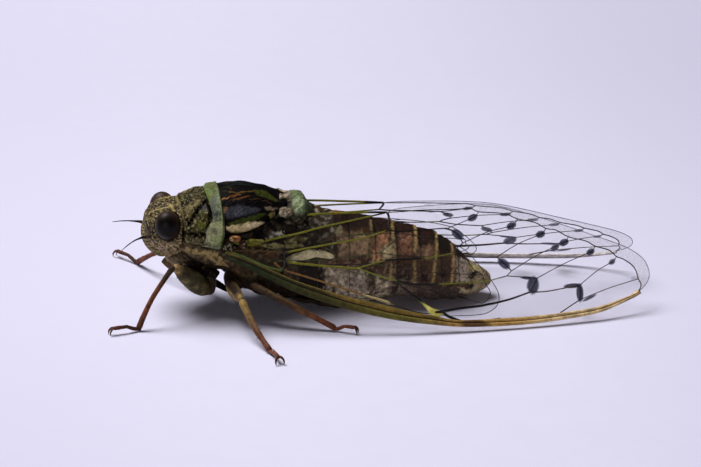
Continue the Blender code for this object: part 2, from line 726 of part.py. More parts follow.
def build_wing(name, joints, costa, veins, edge, under, side):
    """Cells between the veins are sunk on both faces of one thin curved plate."""
    points, edges, kinds = vein_net(joints, (("costa", costa), ("vein", veins), ("edge", edge)))
    flat, _, cells, origin, _, _ = delaunay_2d_cdt(points, edges, [], 3, 1e-5)
    work = bmesh.new()
    share = work.verts.layers.float.new("share")
    made = []
    for place, sources in zip(flat, origin):
        vert = work.verts.new((place.x, place.y, 0))
        found = set().union(*(kinds[s] for s in sources)) if sources else {"vein"}
        thick = 1.0 if "costa" in found else VEIN_SHARE if "vein" in found else MEMBRANE_SHARE
        vert[share] = thick
        made.append(vert)
    for cell in cells:
        work.faces.new([made[k] for k in cell])
    bmesh.ops.recalc_face_normals(work, faces=work.faces)
    outline = set(work.verts)
    bmesh.ops.inset_individual(work, faces=work.faces[:], thickness=VEIN_HALF_WIDTH, use_even_offset=True)
    for vert in work.verts:
        if vert not in outline:
            vert[share] = MEMBRANE_SHARE
    bmesh.ops.triangulate(work, faces=work.faces[:])
    for vert in work.verts:
        place = wing_point(vert.co.x, vert.co.y, under)
        vert.co = Vector((place.x, -side * place.y, place.z)) * MM
    weights = [vert[share] for vert in work.verts]
    mesh = bpy.data.meshes.new(name)
    work.to_mesh(mesh)
    work.free()
    wing = add(name, mesh, "wing")
    group = wing.vertex_groups.new(name="thickness")
    for k, weight in enumerate(weights):
        group.add([k], weight, "REPLACE")
    solid = wing.modifiers.new("Thickness", "SOLIDIFY")
    solid.thickness = WING_THICK * MM
    solid.offset = 0
    solid.vertex_group = "thickness"
    trim = wing.modifiers.new("Root", "BOOLEAN")
    trim.operation = "DIFFERENCE"
    trim.solver = "EXACT"
    trim.object = ROOT_CUTTER
    return wing


def build_root_cutter():
    """The thorax grown by one gap, which trims the wings' roots."""
    rings = []
    for x in (-21.0, -18.6, -16.4, -14.8, -13.2, -11.6, -10.0, -8.6, -7.2, -6.0, -4.2):
        rings.append([thorax_point(x, 2 * pi * k / 28, GAP) for k in range(28)])
    return add("wing_root_cutter", lofted("wing_root_cutter", rings), None, CUTTERS)


# Legs

def setback(before, joint, after, radius):
    """How far from a joint its two limbs end, so that their ends of this radius stay one gap apart."""
    half = (Vector(before) - Vector(joint)).angle(Vector(after) - Vector(joint)) / 2
    return (GAP / 2 + radius * cos(half)) / sin(half)


def limb(name, look, a, b, start, end, profile, sides):
    """A tapering rod from a to b, shortened at both ends; profile lists share and radius."""
    a, b = Vector(a), Vector(b)
    along = (b - a).normalized()
    a, b = a + along * start, b - along * end
    add(name, rod(name, [a.lerp(b, s) for s, _ in profile], [r for _, r in profile], sides), look)


def build_leg(name, joints):
    kind = name.split("_")[0]
    hip, turn, knee, heel, claw = joints
    coxa, femur = COXA_RADIUS[kind], FEMUR_RADIUS[kind]
    hinge = setback(hip, turn, knee, JOINT_RADIUS)
    limb(f"coxa_{name}", "leg_dark", hip, turn, 0, hinge,
         ((0, 0.8 * coxa), (0.3, coxa), (0.7, 0.9 * coxa), (1, JOINT_RADIUS)), 5)
    bend = setback(turn, knee, heel, JOINT_RADIUS)
    limb(f"femur_{name}", "leg_dark" if kind == "fore" else "leg", turn, knee, hinge, bend,
         ((0, JOINT_RADIUS), (0.16, 0.8 * femur), (0.4, femur), (0.72, 0.75 * femur),
          (0.92, KNEE_RADIUS), (1, JOINT_RADIUS)), 5)
    limb(f"tibia_{name}", "leg", knee, heel, bend, GAP,
         ((0, JOINT_RADIUS * 0.9), (0.07, KNEE_RADIUS), (0.5, TIBIA_RADIUS), (0.93, TIBIA_RADIUS),
          (1, 0.8 * TIBIA_RADIUS)), 4)
    add_tarsus(name, heel, claw)


def add_tarsus(name, heel, claw):
    """The foot: a low arch from the heel to two claws, cut flat where it stands."""
    start = Vector((heel[0], heel[1], TARSUS_RADIUS * 0.6))
    end = Vector((claw[0], claw[1], 0.0))
    along = (end - start)
    along.z = 0
    length = along.length
    along.normalize()
    aside = Vector((-along.y, along.x, 0))
    path = [start + along * length * s + Vector((0, 0, z)) for s, z in
            ((0.0, 0.0), (0.16, 0.12), (0.45, TARSUS_LIFT - 0.2), (0.72, TARSUS_LIFT - 0.25))]
    sizes = (0.8 * TARSUS_RADIUS, TARSUS_RADIUS, 0.85 * TARSUS_RADIUS, 0.95 * TARSUS_RADIUS)
    root = path[-1] - along * 0.1
    claws = [root]
    for side in (-1, 1):
        out = start + along * length * 0.9 + aside * 0.4 * side
        out.z = 0.68
        tip = start + along * length + aside * 0.5 * side
        tip.z = 0.03
        claws = [tip, out, *claws] if side < 0 else [*claws, out, tip]
    pieces = [rod("foot", path, sizes, 4), rod("claws", claws, (CLAW_RADIUS, 0.16, 0.2, 0.16, CLAW_RADIUS), 3)]
    made = combine(f"tarsus_{name}", "leg_dark", pieces)
    trimmed_at_floor(made.data)


def centre_on_floor():
    """Moves everything so that the box around it is centred on the origin, floor at z = 0."""
    bpy.context.view_layer.update()
    graph = bpy.context.evaluated_depsgraph_get()
    low, high = Vector((1, 1, 1)), Vector((-1, -1, -1))
    for node in CICADA.objects:
        for corner in node.evaluated_get(graph).bound_box:
            low = Vector(map(min, low, corner))
            high = Vector(map(max, high, corner))
    shift = Matrix.Translation((-(low.x + high.x) / 2, -(low.y + high.y) / 2, 0))
    for node in (*CICADA.objects, *CUTTERS.objects):
        node.data.transform(shift)
    print("moved by", [round(v / MM, 3) for v in shift.translation], "lowest", low.z)


clear_scene()
CICADA = collection("cicada")
CUTTERS = collection("cutters", cutters=True)
ROOT_CUTTER = build_root_cutter()
add("thorax", thorax_core("thorax"), "thorax")
build_pronotum()
build_collar()
build_mesonotum()
build_cruciform()
build_abdomen()
build_head()
build_clypeus()
build_mouth_and_feelers()
build_plates_below()
for flank, sign in (("left", -1), ("right", 1)):
    build_wing(f"forewing_{flank}", FORE_JOINTS, FORE_COSTA, FORE_VEINS, FORE_EDGE, 0.0, sign)
    build_wing(f"hindwing_{flank}", HIND_JOINTS, (), HIND_VEINS, HIND_EDGE, HINDWING_UNDER, sign)
for leg, places in LEGS.items():
    build_leg(leg, places)
centre_on_floor()
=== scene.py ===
import math

import bpy
import numpy as np
from mathutils import Matrix, Vector
from mathutils.geometry import delaunay_2d_cdt


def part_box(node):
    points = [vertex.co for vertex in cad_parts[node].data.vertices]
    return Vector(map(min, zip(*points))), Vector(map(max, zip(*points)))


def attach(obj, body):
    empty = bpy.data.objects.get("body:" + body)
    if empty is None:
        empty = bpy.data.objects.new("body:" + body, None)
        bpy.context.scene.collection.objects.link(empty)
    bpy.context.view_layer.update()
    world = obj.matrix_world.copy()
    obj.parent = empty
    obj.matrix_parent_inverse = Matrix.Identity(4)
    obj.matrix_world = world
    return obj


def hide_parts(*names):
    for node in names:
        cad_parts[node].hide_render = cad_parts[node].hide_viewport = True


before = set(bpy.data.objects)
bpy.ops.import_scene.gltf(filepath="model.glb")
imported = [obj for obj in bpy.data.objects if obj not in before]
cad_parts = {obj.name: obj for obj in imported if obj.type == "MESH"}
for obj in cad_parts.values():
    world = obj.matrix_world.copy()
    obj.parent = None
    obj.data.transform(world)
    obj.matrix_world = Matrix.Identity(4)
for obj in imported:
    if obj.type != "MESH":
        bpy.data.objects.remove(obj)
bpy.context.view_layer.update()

# The cicada as a finished model. Lengths are millimetres in the part's own table frame:
# the head points to -X and the left side to -Y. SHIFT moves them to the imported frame.
MM = 0.001
THORAX_START = -20.3
low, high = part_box("thorax")
SHIFT = np.array([low.x / MM - THORAX_START, (low.y + high.y) / 2 / MM, 0.0])
DETAIL = 1.0

# Thorax, abdomen and head: x, half-width, top z, bottom z, then the section's exponents
THORAX = (((-20.6, 4.0, 13.15, 6.6), (-18.6, 4.95, 14.0, 5.4), (-16.2, 5.5, 14.45, 4.6),
           (-13.2, 5.6, 14.75, 4.2), (-10.5, 5.15, 14.3, 3.8), (-8.0, 4.7, 13.5, 3.3),
           (-4.5, 4.2, 12.8, 2.85)), 2.1, 1.9, 0.46)
ABDOMEN = (((-4.6, 3.5, 11.4, 2.6), (-0.8, 3.85, 10.85, 1.7), (2.4, 4.05, 10.25, 1.0),
            (5.1, 4.25, 9.55, 0.6), (7.9, 4.2, 8.85, 0.25), (10.4, 3.85, 7.95, -0.1),
            (12.6, 3.3, 6.3, -0.1), (14.1, 2.6, 4.7, 0.25), (16.2, 1.4, 3.3, 0.9),
            (17.0, 0.5, 2.5, 1.5)), 1.65, 1.9, 0.46)
HEAD = (((-24.3, 1.9, 11.3, 8.6), (-23.6, 3.0, 12.1, 7.6), (-22.6, 3.7, 12.65, 6.9),
         (-21.2, 4.1, 12.95, 6.4)), 2.3, 2.0, 0.55)
SEGMENT_ENDS = (-4.3, -0.6, 2.5, 5.1, 7.9, 10.4, 12.6, 14.1, 16.9)
THORAX_ARC = 0.09   # millimetres of skin for each degree round the thorax
ABDOMEN_ARC = 0.073
PRONOTUM_SIDE, COLLAR_SIDE = 98, 92
EYE_CENTRE, EYE_RADII = (-22.02, 3.42, 11.03), (1.47, 1.45, 1.70)
CLYPEUS_CENTRE, CLYPEUS_RADII, CLYPEUS_LEAN = (-22.85, 0.0, 8.55), (1.78, 2.0, 2.65), -24

# Wing chart: three points of the left forewing's plane and its roof-like bulge
WING_BASE, WING_TIP, WING_CLAVUS = (-15.24, -6.34, 8.62), (34.98, -5.2, 3.82), (4.08, -1.3, 11.32)
WING_LENGTH = 50.47
HINDWING_UNDER = -1.12
MEMBRANE_THICK = 0.04
JOINTS = {
    "root_low": (-0.4, -0.7), "root_mid": (-0.1, 0.1), "root_high": (0.3, 1.3),
    "arc_low": (6.6, -1.0), "arc_high": (6.6, 0.1), "fork": (15.1, -1.5),
    "fork_low": (19.6, -2.8), "node": (24.1, -6.65), "clavus": (19.0, 6.2),
    "cubitus": (19.0, 3.75), "a0": (26.2, 4.5), "x2": (26.8, 1.2), "n2": (27.9, 2.6),
    "n3": (31.9, 1.0), "n4": (33.6, -0.7), "p": (33.0, -1.4), "n5": (36.7, -1.4),
    "q": (35.7, -3.3), "n6": (41.9, -1.9), "n7": (41.8, -3.8), "k7": (39.3, -5.65),
    "j1": (30.1, 6.9), "j2": (34.8, 6.3), "j3": (38.2, 5.3), "j4": (40.9, 4.4),
    "j5": (44.1, 3.4), "j6": (46.7, 2.2), "j7": (49.2, -0.5), "tip_low": (49.2, -2.1),
}
OUTER_EDGE = ["root_low", (1.4, -1.4), (4.8, -3.2), (8.3, -4.8), (11.8, -6.2), (17.7, -7.35),
              (22.4, -7.85), (27.2, -8.1), (32.0, -7.85), (36.8, -7.1), (41.7, -5.9),
              (45.5, -4.55), (47.9, -3.1), "tip_low"]
HIND_EDGE = ["clavus", (20.4, 6.8), (24.2, 7.4), (29.1, 7.9), (32.8, 7.8), (38.3, 6.55),
             (44.2, 4.8), (47.9, 3.6), (49.8, 2.4), (50.5, 1.2), (50.6, 0.0), (50.1, -1.1), "tip_low"]
CLAVAL_EDGE = ["root_high", (2.2, 2.4), (4.2, 3.8), (6.3, 4.8), (8.6, 5.15), (11.2, 5.5),
               (14.7, 5.85), (17.3, 6.1), "clavus"]
AMBIENT = ["clavus", (20.8, 6.4), (23.0, 6.7), (26.8, 7.0), (29.0, 7.25), "j1", (32.7, 6.9),
           (33.7, 6.75), "j2", (36.9, 6.0), "j3", (39.4, 5.2), "j4", (43.0, 4.0), "j5",
           (45.8, 3.0), "j6", (47.4, 2.0), (48.5, 1.3), (49.0, 0.5), "j7", (49.5, -1.2), "tip_low"]
# Veins: radius at the start and the end, then the path
VEINS = (
    (0.15, 0.13, ["root_mid", (2.2, -0.75), (4.4, -1.75), (6.2, -2.2)]),
    (0.13, 0.13, [(6.2, -2.2), (6.55, -1.6), "arc_low"]),
    (0.15, 0.11, ["arc_low", (8.4, -1.2), (11.8, -1.4), "fork"]),
    (0.12, 0.12, ["arc_low", "arc_high"]),
    (0.10, 0.11, ["root_mid", (3.2, 0.3), "arc_high"]),
    (0.13, 0.09, ["arc_high", (8.4, 0.6), (12.4, 1.6), (15.9, 2.5), "cubitus"]),
    (0.15, 0.10, ["root_high", (2.4, 1.0), (5.4, 1.9), (8.5, 2.8), (11.1, 3.7), (14.7, 4.8),
                  (17.2, 5.6), "clavus"]),
    (0.15, 0.13, CLAVAL_EDGE),
    (0.09, 0.07, ["fork", (16.2, -1.1), (18.6, -0.3), (22.6, 0.2), (24.7, 0.6), "x2"]),
    (0.10, 0.09, ["fork", (17.8, -2.4), "fork_low"]),
    (0.09, 0.11, ["fork_low", (20.4, -3.6), (22.2, -5.1), "node"]),
    (0.09, 0.065, ["fork_low", (21.6, -3.2), (24.8, -3.0), (28.9, -2.5), (30.4, -2.3), "p"]),
    (0.2, 0.10, ["node", (25.3, -6.35), (27.2, -5.9), (29.8, -5.4), (32.9, -4.5), "q"]),
    (0.18, 0.09, [(25.1, -6.45), (25.5, -6.85), (26.3, -7.2), (28.4, -7.6), (32.0, -6.85)]),
    (0.15, 0.10, ["clavus", (19.2, 5.5), "cubitus"]),
    (0.09, 0.07, ["cubitus", (20.2, 3.7), (22.6, 4.0), "a0"]),
    (0.065, 0.065, ["a0", (27.3, 3.8), "n2"]), (0.065, 0.065, ["n2", (27.1, 1.8), "x2"]),
    (0.07, 0.065, ["x2", (28.7, 0.8), (30.2, 0.85), "n3"]), (0.065, 0.065, ["n3", (32.8, 0.2), "n4"]),
    (0.06, 0.06, ["n4", "p"]), (0.06, 0.06, ["p", (35.3, -1.4), "n5"]),
    (0.07, 0.07, ["n5", (36.1, -2.3), "q"]),
    (0.08, 0.065, ["q", (37.5, -3.1), (39.1, -2.7), "n6"]), (0.06, 0.06, ["n6", (41.9, -2.9), "n7"]),
    (0.065, 0.075, ["n7", "k7"]), (0.055, 0.05, ["a0", (29.3, 6.1), "j1"]),
    (0.055, 0.05, ["n2", (31.0, 4.3), (34.0, 5.4), "j2"]),
    (0.055, 0.05, ["n3", (34.7, 3.0), (37.5, 4.5), "j3"]),
    (0.055, 0.05, ["n4", (37.0, 1.7), (40.3, 3.6), "j4"]),
    (0.055, 0.05, ["n5", (40.2, 0.8), (43.5, 2.6), "j5"]),
    (0.055, 0.05, ["n6", (44.1, 0.1), (46.1, 1.5), "j6"]), (0.055, 0.05, ["n7", (45.5, -2.0), "j7"]),
    (0.06, 0.07, AMBIENT), (0.035, 0.04, HIND_EDGE),
)
# Costal strip: place along the wing, then its outer edge, its black line and its inner edge
STRIP = ((-0.3, -0.95, -0.5, 0.0), (2.5, -2.25, -1.55, -1.0), (4.8, -3.45, -2.6, -2.05),
         (8.3, -5.1, -4.1, -3.55), (13.5, -6.65, -5.75, -5.05), (17.6, -7.5, -6.7, -5.85),
         (20.6, -7.9, -7.2, -6.5), (23.6, -8.1, -7.5, -6.95), (26.5, -8.2, -7.75, -7.35),
         (29.5, -8.05, -7.6, -7.15), (34.7, -7.45, -7.0, -6.5), (39.2, -6.6, -6.15, -5.7),
         (44.2, -5.25, -4.85, -4.45), (48.0, -3.2, -2.95, -2.65), (49.3, -2.2, -2.1, -1.95))
# Dark spots: place, half-length along the spot, half-height, tilt in degrees, depth of colour
SPOTS = ((29.3, 6.1, 0.6, 0.36, 35, 1.0), (34.0, 5.4, 0.6, 0.36, 35, 1.0), (37.5, 4.5, 0.6, 0.38, 35, 1.0),
         (40.3, 3.6, 0.6, 0.36, 35, 1.0), (43.5, 2.6, 0.55, 0.34, 40, 0.9), (46.1, 1.5, 0.5, 0.3, 45, 0.7),
         (48.7, -0.4, 0.5, 0.25, 20, 0.35), (27.35, 3.75, 0.72, 0.5, -50, 1.0),
         (32.75, 0.2, 0.75, 0.5, -45, 1.0),
         (36.15, -2.35, 1.05, 0.62, 78, 1.0), (35.5, -1.45, 0.8, 0.2, 0, 0.8),
         (41.85, -2.9, 1.05, 0.38, 88, 1.0),
         (41.0, -2.05, 1.0, 0.26, 10, 1.0), (43.0, -3.45, 1.0, 0.18, 30, 0.7), (24.4, 6.55, 0.5, 0.1, 5, 0.5))
BLACK_STRETCHES = (  # of the forewing's veins
    [(6.3, -2.1), (6.6, -1.3), (6.6, 0.1)],
    [(17.2, 6.0), (19.0, 6.2), (19.05, 5.0), (19.0, 3.7), (22.6, 4.0), (27.0, 4.6)],
    [(18.6, -0.2), (22.6, 0.2)], [(20.0, -3.0), (21.6, -3.2), (24.4, -3.1)], [(20.6, -3.9), (22.4, -5.2)],
    [(24.9, -6.4), (27.2, -5.9), (29.8, -5.4), (32.0, -4.7)], [(25.1, -6.45), (26.3, -7.2), (29.4, -7.5)],
)
GREEN_STRETCHES = ([(23.0, 0.25), (26.4, 1.0)], [(24.8, -3.0), (28.9, -2.5), (31.8, -1.8)],
                   [(15.1, -1.5), (19.8, -2.9)], [(15.1, -1.5), (18.2, -0.4)])
# Hindwing, in the same chart: outline, then veins with their radii
HIND_OUTLINE = [(5.4, 0.3), (6.2, -1.2), (7.5, -1.85), (11.0, -3.0), (15.0, -4.3), (20.0, -5.75),
                (26.4, -6.6), (29.9, -6.1), (31.4, -5.4), (32.1, -4.5), (32.2, -3.3), (31.6, -1.9),
                (30.1, 0.2), (28.2, 2.4), (25.4, 3.6), (21.5, 4.0), (17.3, 3.9), (12.0, 3.0),
                (8.6, 2.6), (6.2, 2.3)]
HIND_VEINS = (
    (0.12, 0.10, [(5.6, -0.6), (6.6, -1.5), (8.6, -2.1), (13.0, -3.4), (16.3, -4.4)]),
    (0.12, 0.20, [(16.3, -4.4), (17.8, -4.8), (19.1, -5.2)]),
    (0.07, 0.05, [(19.1, -5.25), (20.9, -5.8), (22.6, -6.2), (26.3, -6.4)]),
    (0.045, 0.045, [(26.3, -6.4), (29.9, -6.0), (31.4, -5.3), (32.1, -4.4), (32.2, -3.3), (31.6, -1.9),
                    (30.1, 0.2), (28.2, 2.4), (25.4, 3.5), (21.5, 3.9), (17.3, 3.8), (12.0, 2.95),
                    (8.6, 2.5)]),
    (0.055, 0.05, [(27.2, 1.9), (28.4, 1.2), (29.3, -0.3), (30.3, -0.9), (30.6, -2.0), (31.2, -3.1),
                   (30.7, -4.2), (30.1, -4.6)]),
    (0.05, 0.05, [(13.9, -1.2), (20.0, -2.6), (26.3, -3.7), (30.1, -4.6)]),
    (0.07, 0.05, [(6.0, -0.4), (10.8, -0.1), (13.1, 0.2), (16.2, 0.8), (18.1, 1.2), (20.5, 1.0), (24.5, 1.1),
                  (27.2, 1.9)]),
    (0.05, 0.05, [(18.1, 1.2), (19.6, 2.6), (21.5, 3.8)]),
    (0.07, 0.05, [(8.6, -0.9), (13.9, -0.5), (17.1, -0.2), (20.5, 1.0)]),
    (0.05, 0.045, [(17.1, -0.2), (22.0, -0.9), (26.0, -1.0), (30.3, -0.9)]),
    (0.06, 0.05, [(6.3, 1.9), (9.1, 2.4), (10.7, 2.3), (12.1, 2.6), (14.0, 3.1), (17.0, 3.75)]),
    (0.05, 0.05, [(11.7, 1.6), (12.4, 1.1), (12.8, 0.5)]),
)

# Legs: hip, turn, knee, heel and claw of each
LEGS = {
    "fore_left": ((-17.4, -2.2, 4.72), (-16.9, -3.6, 2.5), (-21.5, -6.0, 6.85), (-25.74, -8.7, 0.4),
                  (-29.25, -9.75)),
    "mid_left": ((-14.4, -2.4, 3.95), (-15.0, -4.6, 4.1), (-13.9, -9.5, 3.8), (-11.45, -16.7, 0.4),
                 (-10.75, -20.5)),
    "hind_left": ((-10.3, -2.3, 3.5), (-10.6, -4.1, 3.4), (-12.4, -6.9, 4.7), (-3.1, -10.4, 0.4),
                  (-0.6, -11.6)),
    "fore_right": ((-17.4, 2.2, 4.72), (-16.9, 3.6, 2.6), (-20.5, 7.0, 4.4), (-23.95, 13.1, 0.4),
                   (-26.5, 16.35)),
    "mid_right": ((-14.4, 2.4, 3.95), (-15.0, 4.6, 4.1), (-13.7, 9.6, 3.8), (-11.0, 16.7, 0.4), (-9.9, 20.5)),
    "hind_right": ((-10.3, 2.3, 3.5), (-10.6, 4.1, 3.4), (-12.2, 6.9, 4.7), (-2.7, 10.5, 0.4), (-0.1, 11.8)),
}
FEMUR_RADIUS = {"fore": 1.2, "mid": 0.92, "hind": 0.6}
TIBIA_RADIUS = {"fore": 0.31, "mid": 0.43, "hind": 0.42}
BOW = {"fore": 0.42, "mid": 0.3, "hind": 0.0}

# Colours, linear RGB
BLACK = (0.006, 0.004, 0.004)
GOLD = (0.26, 0.19, 0.075)
RED_BROWN = (0.14, 0.045, 0.018)
DARK_BROWN = (0.035, 0.018, 0.010)
VEIN_GREEN = (0.15, 0.145, 0.012)


# Numbers and curves

def smooth(x):
    x = np.clip(x, 0, 1)
    return x * x * (3 - 2 * x)


def inset(share):
    """How far a share is from the nearer of 0 and 1."""
    return np.minimum(share, 1 - share)


def poles(share, front, back):
    """1 along a body, falling to 0 at its poles within these shares."""
    return np.minimum(np.minimum(share / front, (1 - share) / back), 1.0)


def station(table, x):
    """The table's values at each x, eased through its rows by a cubic."""
    rows = np.array(table)
    x = np.clip(x, rows[0, 0], rows[-1, 0])
    i = np.clip(np.searchsorted(rows[:, 0], x, side="right") - 1, 0, len(rows) - 2)
    steps = np.arange(len(rows))
    after, before = np.minimum(steps + 1, len(rows) - 1), np.maximum(steps - 1, 0)
    slope = (rows[after] - rows[before]) / (rows[after, 0] - rows[before, 0])[:, None]
    span = (rows[i + 1, 0] - rows[i, 0])[:, None]
    t = (x - rows[i, 0])[:, None] / span
    out = ((2 * t**3 - 3 * t**2 + 1) * rows[i] + (t**3 - 2 * t**2 + t) * slope[i] * span
           + (3 * t**2 - 2 * t**3) * rows[i + 1] + (t**3 - t**2) * slope[i + 1] * span)
    return out[:, 1:].T


def body_point(body, x, angle, grow=0.0):
    """Points of a body's surface at x and an angle from its top, moved outwards by grow."""
    table, upper, lower, widest = body
    half, top, bottom = station(table, x)
    s, c = np.sin(angle), np.cos(angle)
    middle = bottom + (top - bottom) * widest
    power = np.where(c >= 0, 2 / upper, 2 / lower)
    height = np.where(c >= 0, top - middle, middle - bottom) + grow
    y = (half + grow) * np.abs(s) ** power * np.sign(s)
    z = middle + height * np.abs(c) ** power * np.sign(c)
    return np.stack([x, y, z], axis=1)


def smooth_path(knots, step=0.3):
    """Knots eased through by a cubic, close enough for a smooth tube. Any columns ride along."""
    knots = np.array(knots, float)
    padded = np.vstack([2 * knots[0] - knots[1], knots, 2 * knots[-1] - knots[-2]])
    out = []
    for i in range(1, len(padded) - 2):
        a, b, c, d = padded[i - 1:i + 3]
        count = max(2, int(np.linalg.norm((c - b)[:2]) / step))
        t = np.linspace(0, 1, count, endpoint=False)[:, None]
        out.append(0.5 * (2 * b + (c - a) * t + (2 * a - 5 * b + 4 * c - d) * t**2
                          + (3 * b - a - 3 * c + d) * t**3))
    return np.vstack([*out, knots[-1:]])


def ripple(points, wave, seed, count=14):
    """A smooth random height of about -1 to 1 whose bumps are about wave across."""
    rng = np.random.default_rng(seed)
    total = np.zeros(len(points))
    for _ in range(count):
        way = rng.normal(size=points.shape[1])
        way *= 2 * math.pi / wave * rng.uniform(0.5, 1.2) / np.linalg.norm(way)
        total += np.sin(points @ way + rng.uniform(0, 6.3))
    return total / math.sqrt(count)


def path_distance(points, path):
    """For each point, its distance from the path and its share of the way along it."""
    path = np.array(path, float)
    best, share = np.full(len(points), 1e9), np.zeros(len(points))
    for k, (a, b) in enumerate(zip(path[:-1], path[1:])):
        way = b - a
        t = np.clip((points - a) @ way / (way @ way), 0, 1)
        far = np.linalg.norm(points - a - t[:, None] * way, axis=1)
        nearer = far < best
        best, share = np.where(nearer, far, best), np.where(nearer, (k + t) / (len(path) - 1), share)
    return best, share


def line_mask(points, path, width, soft=0.12):
    """1 on the path, 0 beyond its half-width, which may be one number or one for each end."""
    far, share = path_distance(points, path)
    start, end = width if isinstance(width, tuple) else (width, width)
    return smooth((start + (end - start) * share + soft / 2 - far) / soft)


def patch_mask(points, corners, soft=0.15):
    """1 inside the corners, 0 outside."""
    corners = np.array(corners, float)
    far, _ = path_distance(points, np.vstack([corners, corners[:1]]))
    inside = np.zeros(len(points), bool)
    for a, b in zip(corners, np.roll(corners, -1, axis=0)):
        crosses = (a[1] > points[:, 1]) != (b[1] > points[:, 1])
        edge = a[0] + (points[:, 1] - a[1]) * (b[0] - a[0]) / (b[1] - a[1] + 1e-12)
        inside ^= crosses & (points[:, 0] < edge)
    return smooth(0.5 + np.where(inside, far, -far) / soft)


def blob_mask(points, centre, radii, tilt=0.0, soft=0.35):
    turn = math.radians(tilt)
    d = points - np.array(centre)
    along = (d[:, 0] * math.cos(turn) + d[:, 1] * math.sin(turn)) / radii[0]
    across = (-d[:, 0] * math.sin(turn) + d[:, 1] * math.cos(turn)) / radii[1]
    return smooth((1 - np.hypot(along, across)) / soft + 0.5)


def cell_gaps(points, centres):
    """How far each point is from the border between its nearest two centres, and which is nearest."""
    far = np.linalg.norm(points[:, None, :] - np.array(centres)[None], axis=2)
    order = np.argsort(far, axis=1)
    rows = np.arange(len(points))
    return (far[rows, order[:, 1]] - far[rows, order[:, 0]]) / 2, order[:, 0]


# Pieces

def named(name):
    piece = bpy.context.object
    piece.name = piece.data.name = name
    return piece


def read(piece):
    """The piece's points in the part's millimetres."""
    points = np.empty(len(piece.data.vertices) * 3, np.float32)
    piece.data.vertices.foreach_get("co", points)
    return points.reshape(-1, 3).astype(float) / MM - SHIFT


def write(piece, points):
    piece.data.vertices.foreach_set("co", ((points + SHIFT) * MM).astype(np.float32).ravel())
    piece.data.update()


def only(piece):
    bpy.ops.object.select_all(action="DESELECT")
    piece.select_set(True)
    bpy.context.view_layer.objects.active = piece


def tidy_faces(piece, merge=2e-7):
    """Closes seams and poles, turns every face outwards and shades the piece smooth."""
    only(piece)
    bpy.ops.object.mode_set(mode="EDIT")
    bpy.ops.mesh.select_all(action="SELECT")
    bpy.ops.mesh.remove_doubles(threshold=merge)
    bpy.ops.mesh.normals_make_consistent(inside=False)
    bpy.ops.object.mode_set(mode="OBJECT")
    bpy.ops.object.shade_smooth()


def apply_modifier(piece, kind, **settings):
    only(piece)
    step = piece.modifiers.new(kind.title(), kind)
    for key, value in settings.items():
        setattr(step, key, value)
    bpy.ops.object.modifier_apply(modifier=step.name)


def ball_piece(name, around, along, place):
    """A closed skin from a sphere. place takes each point's share from front pole to back and its angle."""
    bpy.ops.mesh.primitive_uv_sphere_add(segments=int(around * DETAIL), ring_count=int(along * DETAIL),
                                         radius=1)
    piece = named(name)
    ball = (read(piece) + SHIFT) * MM
    share = np.arccos(np.clip(-ball[:, 2], -1, 1)) / math.pi
    angle = np.arctan2(ball[:, 1], ball[:, 0])
    write(piece, place(share, angle))
    tidy_faces(piece)
    return piece


def thickened(piece, out, thick, offset):
    """Turns a sheet to face out, thickens it and shades it smooth."""
    facing = sum((face.normal * face.area for face in piece.data.polygons), Vector())
    if facing.dot(Vector(out)) < 0:
        only(piece)
        bpy.ops.object.mode_set(mode="EDIT")
        bpy.ops.mesh.select_all(action="SELECT")
        bpy.ops.mesh.flip_normals()
        bpy.ops.object.mode_set(mode="OBJECT")
    apply_modifier(piece, "SOLIDIFY", thickness=thick * MM, offset=offset)
    bpy.ops.object.shade_smooth()
    return piece


def sheet_piece(name, columns, rows, place, thick, out=(0, 0, 1)):
    """A curved plate from a grid. place takes two shares, across and along; out is the way it faces."""
    bpy.ops.mesh.primitive_grid_add(x_subdivisions=int(columns * DETAIL), y_subdivisions=int(rows * DETAIL),
                                    size=1)
    piece = named(name)
    grid = (read(piece) + SHIFT) * MM + 0.5
    write(piece, place(grid[:, 0], grid[:, 1]))
    return thickened(piece, out, thick, -1.0)


def tube_piece(name, lines, sides=3):
    """Round tubes along paths whose rows are x, y, z and radius, as one mesh."""
    bpy.ops.curve.primitive_bezier_curve_add()
    curve = named(name).data
    curve.splines.clear()
    curve.dimensions = "3D"
    curve.bevel_depth = MM
    curve.bevel_resolution = sides
    curve.use_fill_caps = True
    for line in lines:
        spline = curve.splines.new("POLY")
        spline.points.add(len(line) - 1)
        places = np.ones((len(line), 4))
        places[:, :3] = (line[:, :3] + SHIFT) * MM
        spline.points.foreach_set("co", places.ravel())
        spline.points.foreach_set("radius", line[:, 3])
    bpy.ops.object.convert(target="MESH")
    piece = named(name)
    tidy_faces(piece)
    return piece


def joined(name, pieces):
    only(pieces[0])
    for piece in pieces[1:]:
        piece.select_set(True)
    bpy.ops.object.join()
    return named(name)


def attribute(piece, name, values):
    layer = piece.data.attributes.new(name, "FLOAT", "POINT")
    layer.data.foreach_set("value", np.asarray(values, np.float32))


